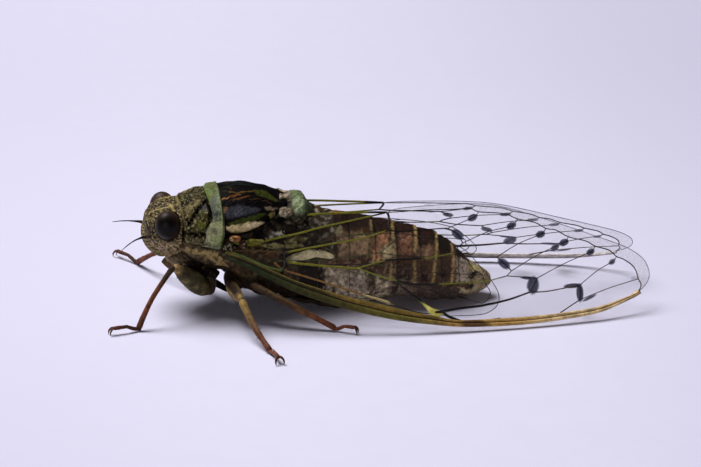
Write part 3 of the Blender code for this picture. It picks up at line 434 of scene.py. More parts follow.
class Paint:
    """Colour laid on a piece's points in coats, in a flat chart of the piece."""

    def __init__(self, piece, chart, base):
        self.piece, self.chart = piece, chart
        self.colour = np.tile(np.array(base, float), (len(chart), 1))

    def coat(self, mask, colour):
        self.colour += np.asarray(mask)[:, None] * (np.array(colour) - self.colour)
        return self

    def line(self, path, width, colour, soft=0.15, depth=1.0):
        return self.coat(depth * line_mask(self.chart, path, width, soft), colour)

    def patch(self, corners, colour, soft=0.2, depth=1.0):
        return self.coat(depth * patch_mask(self.chart, corners, soft), colour)

    def blob(self, centre, radii, colour, tilt=0.0, soft=0.35, depth=1.0):
        return self.coat(depth * blob_mask(self.chart, centre, radii, tilt, soft), colour)

    def mottle(self, wave, seed, colour, share=0.5, depth=0.6, edge=0.5):
        """Irregular flecks about wave across over about this share of the piece."""
        height = ripple(read(self.piece), wave, seed, 24)
        return self.coat(depth * smooth((height + 2 * share - 1) / edge + 0.5), colour)

    def marks(self, rows, arc):
        """Patches ("p") and lines ("l"): softness, depth, colour and places, as (x, degrees from the top)."""
        for kind, soft, depth, colour, places in rows:
            places = [(x, angle * arc) for x, angle in places]
            if kind == "p":
                self.patch(places, colour, soft, depth)
            else:
                self.line(places, 0.6 * soft, colour, max(soft, 0.14), depth)
        return self

    def save(self):
        layer = self.piece.data.attributes.new("paint", "FLOAT_COLOR", "POINT")
        rgba = np.ones((len(self.colour), 4), np.float32)
        rgba[:, :3] = np.clip(self.colour, 0, 1)
        layer.data.foreach_set("color", rgba.ravel())


# Finishes

class Socket:
    """One value in a finish, which sums and products can use."""

    def __init__(self, finish, link):
        self.finish, self.link = finish, link

    def __add__(self, other):
        return self.finish.math("ADD", self, other)

    def __sub__(self, other):
        return self.finish.math("SUBTRACT", self, other)

    def __mul__(self, other):
        return self.finish.math("MULTIPLY", self, other)

    __radd__, __rmul__ = __add__, __mul__


class Finish:
    """A material built from few patterns, measured in millimetres."""

    def __init__(self, name):
        self.material = bpy.data.materials.new(name)
        self.material.use_nodes = True
        self.tree = self.material.node_tree
        place = self.node("ShaderNodeTexCoord", out="Object")
        self.at = self.node("ShaderNodeVectorMath", {"operation": "SCALE"}, {0: place, "Scale": 1 / MM})

    def node(self, kind, settings=None, inputs=None, out=0):
        made = self.tree.nodes.new(kind)
        for key, value in (settings or {}).items():
            setattr(made, key, value)
        for key, value in (inputs or {}).items():
            if isinstance(value, Socket):
                self.tree.links.new(value.link, made.inputs[key])
            else:
                made.inputs[key].default_value = value
        return Socket(self, made.outputs[out])

    def math(self, operation, a, b=0.0):
        return self.node("ShaderNodeMath", {"operation": operation}, {0: a, 1: b})

    def stretched(self, x, y, z):
        return self.node("ShaderNodeVectorMath", {"operation": "MULTIPLY"}, {0: self.at, 1: (x, y, z)})

    def noise(self, scale, detail=3.0, rough=0.55, at=None):
        return self.node("ShaderNodeTexNoise", None,
                         {"Vector": at or self.at, "Scale": scale, "Detail": detail, "Roughness": rough},
                         "Fac")

    def cells(self, scale, feature="F1"):
        return self.node("ShaderNodeTexVoronoi", {"feature": feature}, {"Vector": self.at, "Scale": scale},
                         "Distance")

    def ramp(self, value, low, high, start=0.0, end=1.0):
        return self.node("ShaderNodeMapRange", {"interpolation_type": "SMOOTHSTEP"},
                         {"Value": value, "From Min": low, "From Max": high, "To Min": start, "To Max": end})

    def colour(self, a, b, factor, blend="MIX"):
        a, b = (c if isinstance(c, Socket) else (*c, 1) for c in (a, b))
        return self.node("ShaderNodeMix", {"data_type": "RGBA", "blend_type": blend},
                         {0: factor, 6: a, 7: b}, 2)

    def grey(self, value):
        return self.node("ShaderNodeCombineColor", None, {0: value, 1: value, 2: value})

    def layer(self, name, out="Fac"):
        return self.node("ShaderNodeAttribute", {"attribute_name": name}, None, out)

    def bump(self, height, depth, strength=1.0, over=None):
        """Relief of this depth in millimetres."""
        inputs = {"Height": height, "Distance": depth * MM, "Strength": strength}
        if over:
            inputs["Normal"] = over
        return self.node("ShaderNodeBump", None, inputs, "Normal")

    def done(self, linked, plain=None):
        shader = self.tree.nodes["Principled BSDF"]
        for key, value in (linked | (plain or {})).items():
            if isinstance(value, Socket):
                self.tree.links.new(value.link, shader.inputs[key])
            else:
                shader.inputs[key].default_value = (*value, 1) if isinstance(value, tuple) else value
        return self.material


def painted_shell(name, rough=0.45, fleck=0.3, down=0.25, down_colour=(0.45, 0.40, 0.28), grain=0.03,
                  coat=0.0,
                  gloss=0.3):
    """Painted insect shell: fine flecks, a thin down of pale hairs and pitted relief."""
    f = Finish(name)
    paint = f.layer("paint", "Color")
    broad = f.ramp(f.noise(1.6, 4.0), 0.25, 0.75, 1 - fleck, 1 + fleck)
    fine = f.ramp(f.noise(7.0, 3.0, 0.65), 0.3, 0.7, 1 - fleck, 1 + fleck)
    base = f.colour(paint, f.grey(broad * fine), 1.0, "MULTIPLY")
    hairs = f.noise(9.0, 2.0, 0.7, f.stretched(0.45, 1.6, 1.6))
    patches = f.ramp(f.noise(0.9, 2.0), 0.4, 0.65)
    downy = f.ramp(hairs, 0.56, 0.74) * patches * down
    base = f.colour(base, down_colour, downy)
    height = f.cells(9.0) * 0.5 + fine * 0.5 + hairs * 0.5
    normal = f.bump(height, grain)
    dull = f.ramp(fine, 0.6, 1.3, rough - 0.08, rough + 0.14) + downy * 0.3
    return f.done({"Base Color": base, "Roughness": dull, "Normal": normal},
                  {"Specular IOR Level": gloss, "Coat Weight": coat, "Coat Roughness": 0.15})


def eye_finish():
    f = Finish("cicada_eye")
    rim = f.layer("rim")
    # Painted pseudopupil and painted rim sheen: each eye is darkest round its outward axis and lighter
    # towards its edge.
    dark = f.colour((0.0015, 0.0006, 0.0004), (0.030, 0.018, 0.013), f.ramp(rim, 0.3, 1.0))
    base = f.colour(dark, (0.05, 0.03, 0.018), f.ramp(rim, 0.9, 1.05) * 0.7)
    facets = f.bump(f.cells(9.0, "DISTANCE_TO_EDGE"), 0.02, 0.7)
    return f.done({"Base Color": base, "Roughness": 0.42, "Normal": facets},
                  {"Coat Weight": 0.02, "Coat Roughness": 0.25, "Specular IOR Level": 0.1})


def vein_finish():
    f = Finish("wing_vein")
    paint = f.layer("paint", "Color")
    grain = f.ramp(f.noise(4.0, 3.0), 0.3, 0.7, 0.7, 1.25)
    base = f.colour(paint, f.grey(grain), 1.0, "MULTIPLY")
    return f.done({"Base Color": base, "Roughness": f.ramp(grain, 0.7, 1.25, 0.5, 0.3),
                   "Normal": f.bump(f.noise(12.0), 0.02, 0.5)}, {"Specular IOR Level": 0.2})


def membrane_finish():
    f = Finish("wing_membrane")
    spot, border = f.layer("spot"), f.layer("border")
    ragged = f.ramp(spot + (f.noise(4.0, 3.0) - 0.5) * 0.3, 0.1, 0.85)
    streaks = f.ramp(f.noise(5.0, 3.0, 0.6, f.stretched(1.0, 0.4, 3.0)), 0.35, 0.7)
    glaze = f.node("ShaderNodeLayerWeight", None, {"Blend": 0.18}, "Facing")
    clear = f.ramp(glaze, 0.6, 1.0, 0.035, 0.22) + f.ramp(f.noise(0.35, 2.0), 0.45, 0.75) * 0.02
    edge = border * (streaks * 0.10 + 0.05)
    alpha = f.math("MAXIMUM", clear + edge, ragged * 0.82)
    tint = f.colour((0.085, 0.065, 0.055), (0.40, 0.38, 0.42), border)
    base = f.colour(tint, (0.040, 0.042, 0.080), f.ramp(ragged, 0.0, 0.35))
    wavy = f.bump(f.noise(0.7, 2.0), 0.25, 0.6, f.bump(f.noise(6.0, 3.0), 0.01, 0.5))
    return f.done({"Base Color": base, "Alpha": alpha, "Roughness": f.ramp(ragged, 0.0, 1.0, 0.12, 0.4),
                   "Normal": wavy}, {"Specular IOR Level": 0.35})


def floor_finish():
    f = Finish("pale_floor")
    weave = f.ramp(f.noise(0.25, 4.0), 0.3, 0.7, 0.0, 1.0)
    base = f.colour((0.665, 0.655, 0.79), (0.655, 0.645, 0.777), weave)
    # Painted shade: the floor darkens away from the middle like a vignette, and towards the back.
    far = f.node("ShaderNodeVectorMath", {"operation": "LENGTH"}, {0: f.stretched(1.0, 0.1, 0.0)}, "Value")
    base = f.colour(base, (0.60, 0.585, 0.715), f.ramp(far, 12.0, 60.0))
    behind = f.node("ShaderNodeSeparateXYZ", None, {0: f.stretched(1.0, 1.0, 1.0)}, "Y")
    base = f.colour(base, (0.38, 0.37, 0.455), f.ramp(behind, -10.0, 100.0, 0.0, 0.3))
    return f.done({"Base Color": base, "Roughness": 0.8, "Normal": f.bump(f.noise(3.0, 4.0), 0.02, 0.2)},
                  {"Specular IOR Level": 0.15})


def set_piece(piece, finish, slot, *nodes):
    piece.data.materials.clear()
    piece.data.materials.append(finish)
    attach(piece, "root")
    if nodes:
        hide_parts(*nodes)
    return piece


# Thorax

def chart_of(body, piece, arc):
    """(x, skin length from the top in mm, always positive) of each point, and its angle in degrees."""
    p = read(piece)
    half, top, bottom = station(body[0], p[:, 0])
    middle = bottom + (top - bottom) * body[3]
    upper = p[:, 2] >= middle
    high = np.where(upper, top - middle, middle - bottom)
    power = np.where(upper, body[1] / 2, body[2] / 2)
    c = (np.abs(p[:, 2] - middle) / high) ** power * np.where(upper, 1, -1)
    s = (np.abs(p[:, 1]) / half) ** power
    angle = np.degrees(np.arctan2(s, c))
    return np.stack([p[:, 0], angle * arc], axis=1), angle


def on_thorax(marks):
    return [(x, angle * THORAX_ARC) for x, angle in marks]


# Marks traced, as Paint.marks takes them
PRONOTUM_MARKS = (
    ("p", 0.3, 1, (0.05, 0.046, 0.017), ((-20.35, -4), (-18.92, -1), (-17.49, 1), (-17.74, 12),
                                         (-18.49, 15), (-19.29, 5), (-20.1, 16), (-20.35, 24))),
    ("p", 0.25, 0.9, (0.02, 0.016, 0.01),
     ((-19.23, 4), (-19.11, 14), (-19.73, 25), (-20.23, 34), (-20.35, 24), (-19.92, 10))),
    ("l", 0.2, 0.95, (0.01, 0.012, 0.012), ((-18.92, -1), (-18.18, 1), (-17.24, -3))),
    ("p", 0.3, 0.95, (0.11, 0.09, 0.038),
     ((-18.67, 21), (-17.99, 24), (-18.18, 32), (-18.67, 40), (-19.29, 53), (-19.79, 59), (-20.23, 55),
      (-20.23, 42), (-19.61, 29))),
    ("l", 0.48, 1, (0.003, 0.002, 0.002), ((-17.5, 29), (-18.3, 40), (-19.0, 54), (-19.6, 64))),
    ("p", 0.25, 0.95, (0.055, 0.055, 0.05),
     ((-18.05, 32), (-17.43, 34), (-17.18, 43), (-17.43, 49), (-17.99, 47), (-18.24, 40))),
    ("p", 0.3, 1, (0.045, 0.043, 0.013), ((-18.3, 44), (-17.31, 49), (-17.24, 60), (-17.68, 70),
                                          (-18.24, 74), (-19.36, 77), (-19.79, 74), (-19.36, 65),
                                          (-18.92, 56))),
    ("l", 0.32, 1, (0.003, 0.002, 0.002),
     ((-17.31, 33), (-17.12, 45), (-17.18, 58), (-17.49, 68), (-17.86, 75))),
    ("l", 0.48, 1, (0.003, 0.002, 0.002), ((-19.54, 77), (-18.98, 80), (-18.24, 78), (-17.8, 73))),
    ("p", 0.3, 0.95, (0.075, 0.065, 0.035),
     ((-19.67, 86), (-18.92, 91), (-17.93, 89), (-17.06, 86), (-17.93, 85), (-18.98, 86))),
    ("l", 0.22, 1, (0.26, 0.22, 0.13), ((-20.1, 89), (-19.85, 98), (-19.36, 102), (-18.67, 101),
                                        (-17.68, 95), (-16.93, 89))),
    ("l", 0.2, 1, (0.003, 0.002, 0.002), ((-17.06, 94), (-15.94, 90), (-15.01, 85))),
)
COLLAR_MARKS = (
    ("p", 0.5, 1, (0.085, 0.10, 0.022), ((-17.49, -1), (-16.75, -2), (-16, 3), (-16.19, 22), (-16.87, 29),
                                         (-17.43, 29), (-17.8, 22))),
    ("p", 0.5, 1, (0.085, 0.10, 0.06), ((-16.87, 29), (-16.06, 24), (-16, 43), (-15.88, 57), (-16.44, 63),
                                        (-17.06, 63), (-17.18, 47))),
    ("p", 0.3, 0.9, (0.03, 0.036, 0.03), ((-16.99, 46), (-16.25, 47), (-16, 51), (-16.44, 55), (-16.93, 53))),
    ("p", 0.3, 1, (0.30, 0.31, 0.14), ((-17.24, 63), (-15.88, 60), (-15.63, 68), (-15.94, 80), (-16.5, 88),
                                       (-17.06, 89), (-17.49, 86), (-17.68, 77))),
    ("p", 0.45, 0.9, (0.085, 0.085, 0.06),
     ((-17.12, 69), (-16.62, 68), (-16.44, 73), (-16.62, 76), (-17.06, 75))),
    ("l", 0.14, 1, (0.30, 0.29, 0.17), ((-17.24, 63), (-17.43, 73), (-17.74, 80), (-17.68, 87))),
    ("l", 0.14, 0.9, (0.16, 0.22, 0.05), ((-15.75, 76), (-16.06, 83), (-16.5, 88), (-17.06, 89))),
    ("p", 0.2, 1, (0.06, 0.085, 0.012), ((-15.63, 79), (-15.44, 85), (-15.88, 90), (-16.37, 89),
                                         (-15.81, 83))),
)
MESONOTUM_MARKS = (
    ("l", 0.1, 0.8, (0.04, 0.03, 0.012), ((-15.44, 7), (-14.57, 7), (-14.32, 13), (-14.82, 16),
                                          (-15.38, 13))),
    ("l", 0.17, 0.9, (0.10, 0.055, 0.012), ((-14.69, 18), (-13.82, 21), (-12.46, 19), (-11.15, 13))),
    ("l", 0.22, 1, (0.11, 0.042, 0.011), ((-15.81, 31), (-14.76, 27), (-13.51, 24))),
    ("l", 0.16, 1, (0.085, 0.034, 0.009), ((-14.32, 33), (-13.45, 30), (-12.33, 25))),
    ("p", 0.25, 1, (0.036, 0.040, 0.007),
     ((-11.65, 12), (-10.41, 11), (-9.54, 18), (-8.79, 26), (-9.35, 29), (-10.41, 25), (-11.15, 24),
      (-11.65, 20))),
    ("p", 0.16, 1, (0.003, 0.002, 0.002), ((-9.66, 13), (-9.22, 13), (-8.66, 21), (-9.29, 23))),
    ("l", 0.07, 0.9, (0.06, 0.028, 0.008), ((-12.39, 32), (-11.52, 30), (-10.47, 31), (-9.72, 35))),
    ("p", 0.2, 0.95, (0.12, 0.07, 0.035),
     ((-15.75, 43), (-15.19, 41), (-14.88, 44), (-15.5, 50), (-15.69, 57))),
    # Painted reflection: a bluish sheen patch on the side of the black plate.
    ("p", 0.4, 1, (0.036, 0.037, 0.046), ((-15.38, 49), (-14.57, 42), (-13.39, 41), (-12.21, 43),
                                          (-11.21, 44), (-11.46, 49), (-12.58, 53), (-13.76, 57),
                                          (-14.94, 58), (-15.38, 55))),
    ("p", 0.22, 1, (0.038, 0.048, 0.010),
     ((-15.13, 63), (-14.07, 60), (-12.71, 56), (-11.34, 50), (-10.65, 50), (-11.03, 55), (-11.96, 60),
      (-13.51, 66), (-14.69, 67))),
    ("p", 0.2, 1, (0.48, 0.37, 0.18), ((-15.32, 67), (-14.38, 66), (-12.77, 63), (-11.71, 61), (-10.45, 60),
                                       (-11.3, 67), (-12.5, 73), (-13.82, 76), (-15.01, 73), (-15.32, 70))),
    ("p", 0.12, 0.9, (0.70, 0.56, 0.33), ((-12.77, 65), (-10.78, 60), (-11.52, 66), (-12.64, 71))),
    ("p", 0.2, 0.9, (0.16, 0.12, 0.08), ((-10.72, 41), (-10.03, 38), (-9.1, 38), (-9.91, 45), (-10.59, 45))),
    ("p", 0.25, 0.9, (0.20, 0.16, 0.05), ((-10.41, 51), (-9.47, 45), (-9.16, 51), (-9.85, 56))),
)
CROSS_MARKS = (
    ("p", 0.35, 0.85, (0.42, 0.34, 0.24),
     ((-8.91, 12), (-8.42, 5), (-7.24, 0), (-7.17, 6), (-8.17, 18), (-8.73, 20))),
    ("p", 0.2, 1, (0.012, 0.005, 0.003), ((-8.48, 22), (-7.86, 17), (-7.3, 22), (-7.55, 32), (-8.29, 31))),
    ("p", 0.35, 0.85, (0.34, 0.28, 0.19),
     ((-8.98, 38), (-7.98, 33), (-7.42, 36), (-7.48, 44), (-8.29, 49), (-9.1, 51))),
    ("p", 0.3, 1, (0.12, 0.15, 0.06), ((-7.24, 0), (-6.18, -4), (-5.43, 0), (-5.31, 20), (-5.43, 34),
                                       (-6.12, 41), (-7.05, 42), (-7.36, 34), (-7.11, 18))),
    ("p", 0.4, 0.9, (0.26, 0.28, 0.14), ((-6.99, 21), (-6.18, 16), (-5.99, 29), (-6.49, 38), (-7.05, 37))),
)
SIDES_MARKS = (
    ("p", 0.25, 1, (0.002, 0.0015, 0.0015),
     ((-13.51, 73), (-10.59, 59), (-8.85, 47), (-7.48, 44), (-8.17, 54), (-9.72, 65), (-10.78, 75),
      (-12.64, 85), (-13.51, 82))),
    ("p", 0.2, 1, (0.20, 0.08, 0.03), ((-15.19, 77), (-14.76, 76), (-14.14, 81), (-13.51, 85), (-13.7, 87),
                                       (-14.45, 85))),
    ("p", 0.2, 1, (0.55, 0.50, 0.40), ((-10.65, 81), (-10.03, 74), (-8.79, 68), (-8.48, 71), (-9.6, 77))),
    ("p", 0.25, 1, (0.45, 0.43, 0.36), ((-5.56, 54), (-5.06, 47), (-4.5, 46), (-4.5, 51), (-4.62, 54))),
    ("p", 0.2, 1, (0.45, 0.42, 0.34), ((-6.8, 59), (-6.3, 51), (-5.68, 47), (-5.99, 56), (-6.49, 62))),
    ("p", 0.25, 1, (0.30, 0.27, 0.10), ((-8.48, 80), (-7.42, 74), (-5.56, 72), (-6.49, 79), (-8.04, 84))),
    ("p", 0.2, 1, (0.14, 0.11, 0.012), ((-12.77, 86), (-12.02, 85), (-10.78, 87), (-11.71, 90),
                                        (-12.64, 91))),
    ("p", 0.25, 1, (0.11, 0.045, 0.012), ((-11.09, 98), (-10.34, 93), (-9.41, 97), (-9.54, 108),
                                          (-10.59, 108))),
    ("p", 0.2, 1, (0.003, 0.002, 0.002), ((-9.22, 101), (-8.6, 95), (-8.11, 105), (-8.6, 131), (-9.16, 117))),
    ("p", 0.25, 1, (0.02, 0.015, 0.01), ((-8.17, 101), (-7.42, 91), (-5.87, 87), (-4.5, 85), (-4.5, 84),
                                         (-4.5, 87), (-4.5, 94), (-5.06, 101), (-6.92, 105), (-8.11, 107))),
    ("p", 0.5, 0.95, (0.27, 0.195, 0.08),
     ((-20.16, 109), (-18.61, 103), (-16.5, 101), (-14.82, 132), (-15.25, 145), (-16.93, 125),
      (-18.42, 117), (-19.98, 127))),
    ("p", 0.4, 0.9, (0.17, 0.085, 0.035),
     ((-14.76, 136), (-13.95, 131), (-12.27, 147), (-11.65, 147), (-12.64, 146), (-14.07, 146))),
)

SWELLINGS = [on_thorax(PRONOTUM_MARKS[k][4]) for k in (3, 6)]
FISSURES = [on_thorax(PRONOTUM_MARKS[k][4]) for k in (4, 7, 8, 11)]


def pronotum_relief(x, angle):
    at = np.stack([x, np.degrees(np.abs(angle)) * THORAX_ARC], axis=1)
    swell = 0.42 * np.max([patch_mask(at, corners, 1.1) for corners in SWELLINGS], axis=0)
    cut = np.max([line_mask(at, path, 0.1, 0.4) for path in FISSURES], axis=0)
    middle = 0.10 * line_mask(at, [(-20.6, 0), (-17.5, 0)], 0.25, 0.4)
    low = 0.18 * line_mask(at, on_thorax(PRONOTUM_MARKS[10][4]), 0.16, 0.3)
    rough = 0.035 * ripple(body_point(THORAX, x, angle), 0.8, 3)
    return swell - 0.42 * cut + middle + low + rough


def build_pronotum():
    def place(across, along):
        angle = np.radians(PRONOTUM_SIDE) * (2 * across - 1)
        back = -17.25 + 0.35 * np.sin(angle) ** 2
        front = -20.9 + 0.85 * np.sin(angle) ** 2
        x = front + (back - front) * along
        rim = 0.35 * (1 - smooth(inset(along) / 0.07)) + 0.3 * (1 - smooth(inset(across) / 0.03))
        lip = 0.12 * smooth(1 - np.abs(along - 0.12) / 0.1)
        p = body_point(THORAX, x, angle, pronotum_relief(x, angle) + lip - rim)
        p[:, 2] -= 0.42 * smooth(1 - np.abs(x + 19.1) / 1.9) * smooth((62 - np.degrees(np.abs(angle))) / 40)
        return p
    piece = sheet_piece("pronotum_shell", 260, 80, place, 0.55)
    chart, _ = chart_of(THORAX, piece, THORAX_ARC)
    paint = Paint(piece, chart, (0.022, 0.019, 0.008))
    paint.mottle(0.9, 5, (0.065, 0.055, 0.018), 0.38, 0.6)
    paint.patch(on_thorax([(-21, 86), (-17, 84), (-17, 110), (-21, 110)]), (0.085, 0.075, 0.035), 0.5, 0.8)
    paint.marks(PRONOTUM_MARKS, THORAX_ARC)
    paint.blob(on_thorax([(-18.2, 66)])[0], (0.5, 0.5), (0.11, 0.115, 0.018), 0, 0.9, 0.8)
    paint.blob(on_thorax([(-19.2, 36)])[0], (0.5, 0.6), (0.17, 0.14, 0.055), 30, 0.9, 0.7)
    paint.line(on_thorax([(-19.95, 90), (-19.3, 103), (-18.0, 98)]), 0.1, (0.22, 0.18, 0.09), 0.2, 0.8)
    paint.mottle(0.5, 9, BLACK, 0.27, 0.8, 0.35)
    paint.line(on_thorax([(-18.1, 23), (-19.1, 16), (-19.98, 25), (-20.25, 41), (-19.85, 59)]), 0.16, BLACK,
               0.3, 0.9)
    paint.patch(on_thorax([(-20.4, 3), (-19.2, 2), (-18.3, 8), (-19.0, 13), (-20.3, 18)]),
                (0.012, 0.012, 0.007), 0.5, 0.75)
    paint.blob(on_thorax([(-20.0, 9)])[0], (0.3, 0.35), (0.07, 0.085, 0.02), 30, 0.9, 0.7)
    paint.mottle(0.3, 10, (0.32, 0.26, 0.12), 0.14, 0.5, 0.35)
    paint.line(on_thorax([(-20.7, 0), (-20.45, 30), (-20.1, 75)]), 0.09, (0.24, 0.18, 0.08), 0.25, 0.8)
    paint.save()
    set_piece(piece, SHELL_DULL, "pronotum", "pronotum")


def build_collar():
    def place(across, along):
        angle = np.radians(COLLAR_SIDE + 4) * (2 * across - 1)
        side = np.abs(angle)
        front = -17.45 + 0.62 * np.sin(np.minimum(side, 1.1) * 1.4) ** 2 - 0.95 * smooth((side - 0.95) / 0.35)
        back = -15.75 + 0.25 * np.sin(np.minimum(side, 1.3)) ** 2 - 1.1 * np.maximum(0, side - 1.3)
        x = front + (back - front) * along
        rim = 0.22 * (1 - smooth(inset(along) / 0.16)) + 0.2 * (1 - smooth(inset(across) / 0.03))
        bead = 0.08 * smooth(1 - np.abs(along - 0.88) / 0.12)
        lift = 0.2 + 0.25 * np.maximum(0, side - 0.9) * along - rim + bead
        return body_point(THORAX, x, angle, lift + 0.03 * ripple(np.stack([x, side * 5], axis=1), 0.9, 8))
    piece = sheet_piece("pronotum_collar_shell", 240, 40, place, 0.5)
    chart, _ = chart_of(THORAX, piece, THORAX_ARC)
    paint = Paint(piece, chart, (0.10, 0.105, 0.055))
    paint.marks(COLLAR_MARKS, THORAX_ARC)
    paint.line(on_thorax([(-16.05, 8), (-15.95, 40), (-15.75, 62)]), 0.10, (0.11, 0.16, 0.045), 0.3, 0.7)
    paint.blob(on_thorax([(-17.2, 14)])[0], (0.45, 0.9), (0.09, 0.15, 0.018), 0, 0.9, 0.8)
    paint.blob(on_thorax([(-16.4, 82)])[0], (0.35, 0.3), (0.25, 0.30, 0.10), 40, 0.9, 0.8)
    paint.mottle(0.4, 12, (0.03, 0.034, 0.022), 0.22, 0.4)
    paint.mottle(0.3, 14, (0.26, 0.27, 0.17), 0.16, 0.4)
    paint.save()
    set_piece(piece, SHELL_GREEN, "collar", "pronotum_collar")


def mesonotum_side(x):
    t = np.clip((x + 15.75) / (15.75 - 7.9), 0, 1)
    return 78 - 14 * t - 40 * t**3


def build_mesonotum():
    def place(across, along):
        x = -16.1 + (-7.7 + 16.1) * along
        angle = np.radians(mesonotum_side(x) + 2) * (2 * across - 1)
        x = x + 0.3 * np.sin(angle) ** 2 * (1 - along)
        at = np.stack([x, np.degrees(np.abs(angle)) * THORAX_ARC], axis=1)
        groove = 0.09 * line_mask(at, on_thorax([(-15.8, 29), (-12.9, 27), (-10.9, 20)]), 0.03, 0.3)
        groove += 0.09 * line_mask(at, on_thorax([(-15.7, 44), (-13.9, 38), (-10.8, 31)]), 0.03, 0.3)
        groove += 0.08 * line_mask(at, on_thorax([(-15.4, 63), (-13.0, 55), (-10.4, 46)]), 0.03, 0.25)
        rim = 0.45 * (1 - smooth(inset(across) / 0.035)) + 0.4 * (1 - smooth((1 - along) / 0.05))
        fine = 0.035 * ripple(at, 1.6, 21) + 0.012 * ripple(at, 0.4, 22)
        return body_point(THORAX, x, angle, fine - groove - rim - 0.4 * (1 - smooth(along / 0.05)))
    piece = sheet_piece("mesonotum_shell", 250, 140, place, 0.6)
    chart, _ = chart_of(THORAX, piece, THORAX_ARC)
    paint = Paint(piece, chart + 0.05 * np.stack([ripple(chart, 0.9, 23), ripple(chart, 0.7, 24)], axis=1),
                  (0.004, 0.003, 0.003))
    paint.marks(MESONOTUM_MARKS, THORAX_ARC)
    paint.line(on_thorax([(-15.8, 30), (-14.8, 27)]), 0.05, (0.40, 0.22, 0.10), 0.12, 0.8)
    paint.line(on_thorax([(-13.6, 69), (-11.4, 62)]), 0.05, (0.62, 0.50, 0.32), 0.14, 0.8)
    paint.line(on_thorax([(-14.9, 73), (-13.4, 75.5)]), 0.08, (0.16, 0.10, 0.035), 0.2, 0.7)
    paint.line(on_thorax([(-14.9, 60.5), (-12.6, 54), (-10.9, 48.5)]), 0.05, BLACK, 0.12, 0.9)
    # Painted highlight: a thin teal line along the plate's top edge.
    paint.line(on_thorax([(-15.2, 4), (-13.4, 2), (-11.6, 3)]), 0.04, (0.03, 0.05, 0.05), 0.2, 0.7)
    paint.mottle(0.35, 25, (0.004, 0.003, 0.003), 0.2, 0.4)
    paint.save()
    set_piece(piece, SHELL_GLOSSY, "mesonotum", "mesonotum")


PLEURAL_CENTRES = on_thorax([(-19.4, 112), (-17.6, 104), (-18.2, 130), (-16.2, 122), (-15.2, 104),
                             (-14.3, 128),
                             (-12.9, 110), (-12.2, 138), (-10.8, 118), (-9.4, 100), (-8.6, 130), (-7.0, 112),
                             (-16.6, 152), (-13.6, 156), (-10.4, 154), (-19.3, 148), (-5.6, 96), (-6.0, 142),
                             (-19.0, 172), (-15.4, 174), (-12.2, 174), (-8.6, 172), (-5.4, 170)])


def hang(x, side):
    """How far the underside hangs below the plain section, side in degrees from the top."""
    return np.interp(x, [-15.0, -12.8, -4.0, 0.0, 5.5], [0, 1.9, 2.0, 1.1, 0]) * smooth((side - 98) / 32)


def build_thorax():
    def place(share, angle):
        t = np.clip((share - 0.045) / 0.91, 0, 1)
        x = -20.45 + (-4.35 + 20.45) * t
        shrink = poles(share, 0.045, 0.045)
        side = np.degrees(np.abs(angle))
        ledge = np.where(x < -15.3, 99, np.maximum(mesonotum_side(x), 42) + 6)
        sunk = 0.95 * (1 - smooth((side - ledge + 5) / 5)) * (x < -7.4)
        sunk += 1.3 * smooth((x + 7.6) / 1.6) * smooth((75 - side) / 25)
        at = np.stack([x, side * THORAX_ARC], axis=1)
        gap, _ = cell_gaps(at, PLEURAL_CENTRES)
        plates = (0.16 * smooth(gap / 0.4) - 0.15) * smooth((side - 84) / 12)
        belly = 0.5 * smooth((side - 105) / 25) * smooth((176 - side) / 30) * smooth((x + 14.5) / 3)
        skin = body_point(THORAX, x, angle, plates - sunk + belly + 0.03 * ripple(at, 0.8, 31))
        skin[:, 2] -= hang(x, side)
        core = body_point(THORAX, x, angle * 0, -4)
        core[:, 2] = 8.5
        return core + (skin - core) * np.sqrt(np.clip(shrink, 0, 1))[:, None]
    piece = ball_piece("thorax_sides", 260, 230, place)
    chart, angle = chart_of(THORAX, piece, THORAX_ARC)
    gap, which = cell_gaps(chart, PLEURAL_CENTRES)
    paint = Paint(piece, chart, (0.06, 0.04, 0.02))
    shades = ((0.10, 0.072, 0.034), (0.075, 0.06, 0.026), (0.12, 0.088, 0.045), (0.085, 0.055, 0.025),
              (0.04, 0.025, 0.014), (0.07, 0.04, 0.02), (0.06, 0.034, 0.015))
    for k in range(len(PLEURAL_CENTRES)):
        paint.coat((which == k) * 0.7, shades[k % len(shades)])
    paint.coat(0.6 * (1 - smooth(gap / 0.12)), BLACK)
    paint.coat(0.95 * smooth((90 - angle) / 8), (0.006, 0.005, 0.004))
    paint.coat(0.9 * smooth((chart[:, 0] + 9.4) / 1) * smooth((112 - angle) / 12), (0.010, 0.008, 0.006))
    paint.mottle(0.8, 33, (0.20, 0.155, 0.085), 0.22, 0.35)
    paint.chart = chart + 0.10 * np.stack([ripple(chart, 0.5, 34), ripple(chart, 0.4, 36)], axis=1)
    paint.marks(SIDES_MARKS, THORAX_ARC)
    paint.mottle(0.75, 37, (0.028, 0.020, 0.011), 0.36, 0.75)
    # Painted shade over the underside's dark colour: darker towards the bottom, and near black at the rear
    # below the wing.
    paint.coat(0.85 * smooth((angle - 128) / 12), (0.014, 0.009, 0.006))
    paint.coat(0.95 * smooth((chart[:, 0] + 6.9) / 0.5) * smooth((angle - 110) / 5), (0.005, 0.004, 0.004))
    paint.mottle(0.4, 35, BLACK, 0.22, 0.5)
    paint.save()
    set_piece(piece, SHELL_DULL, "thorax", "thorax")


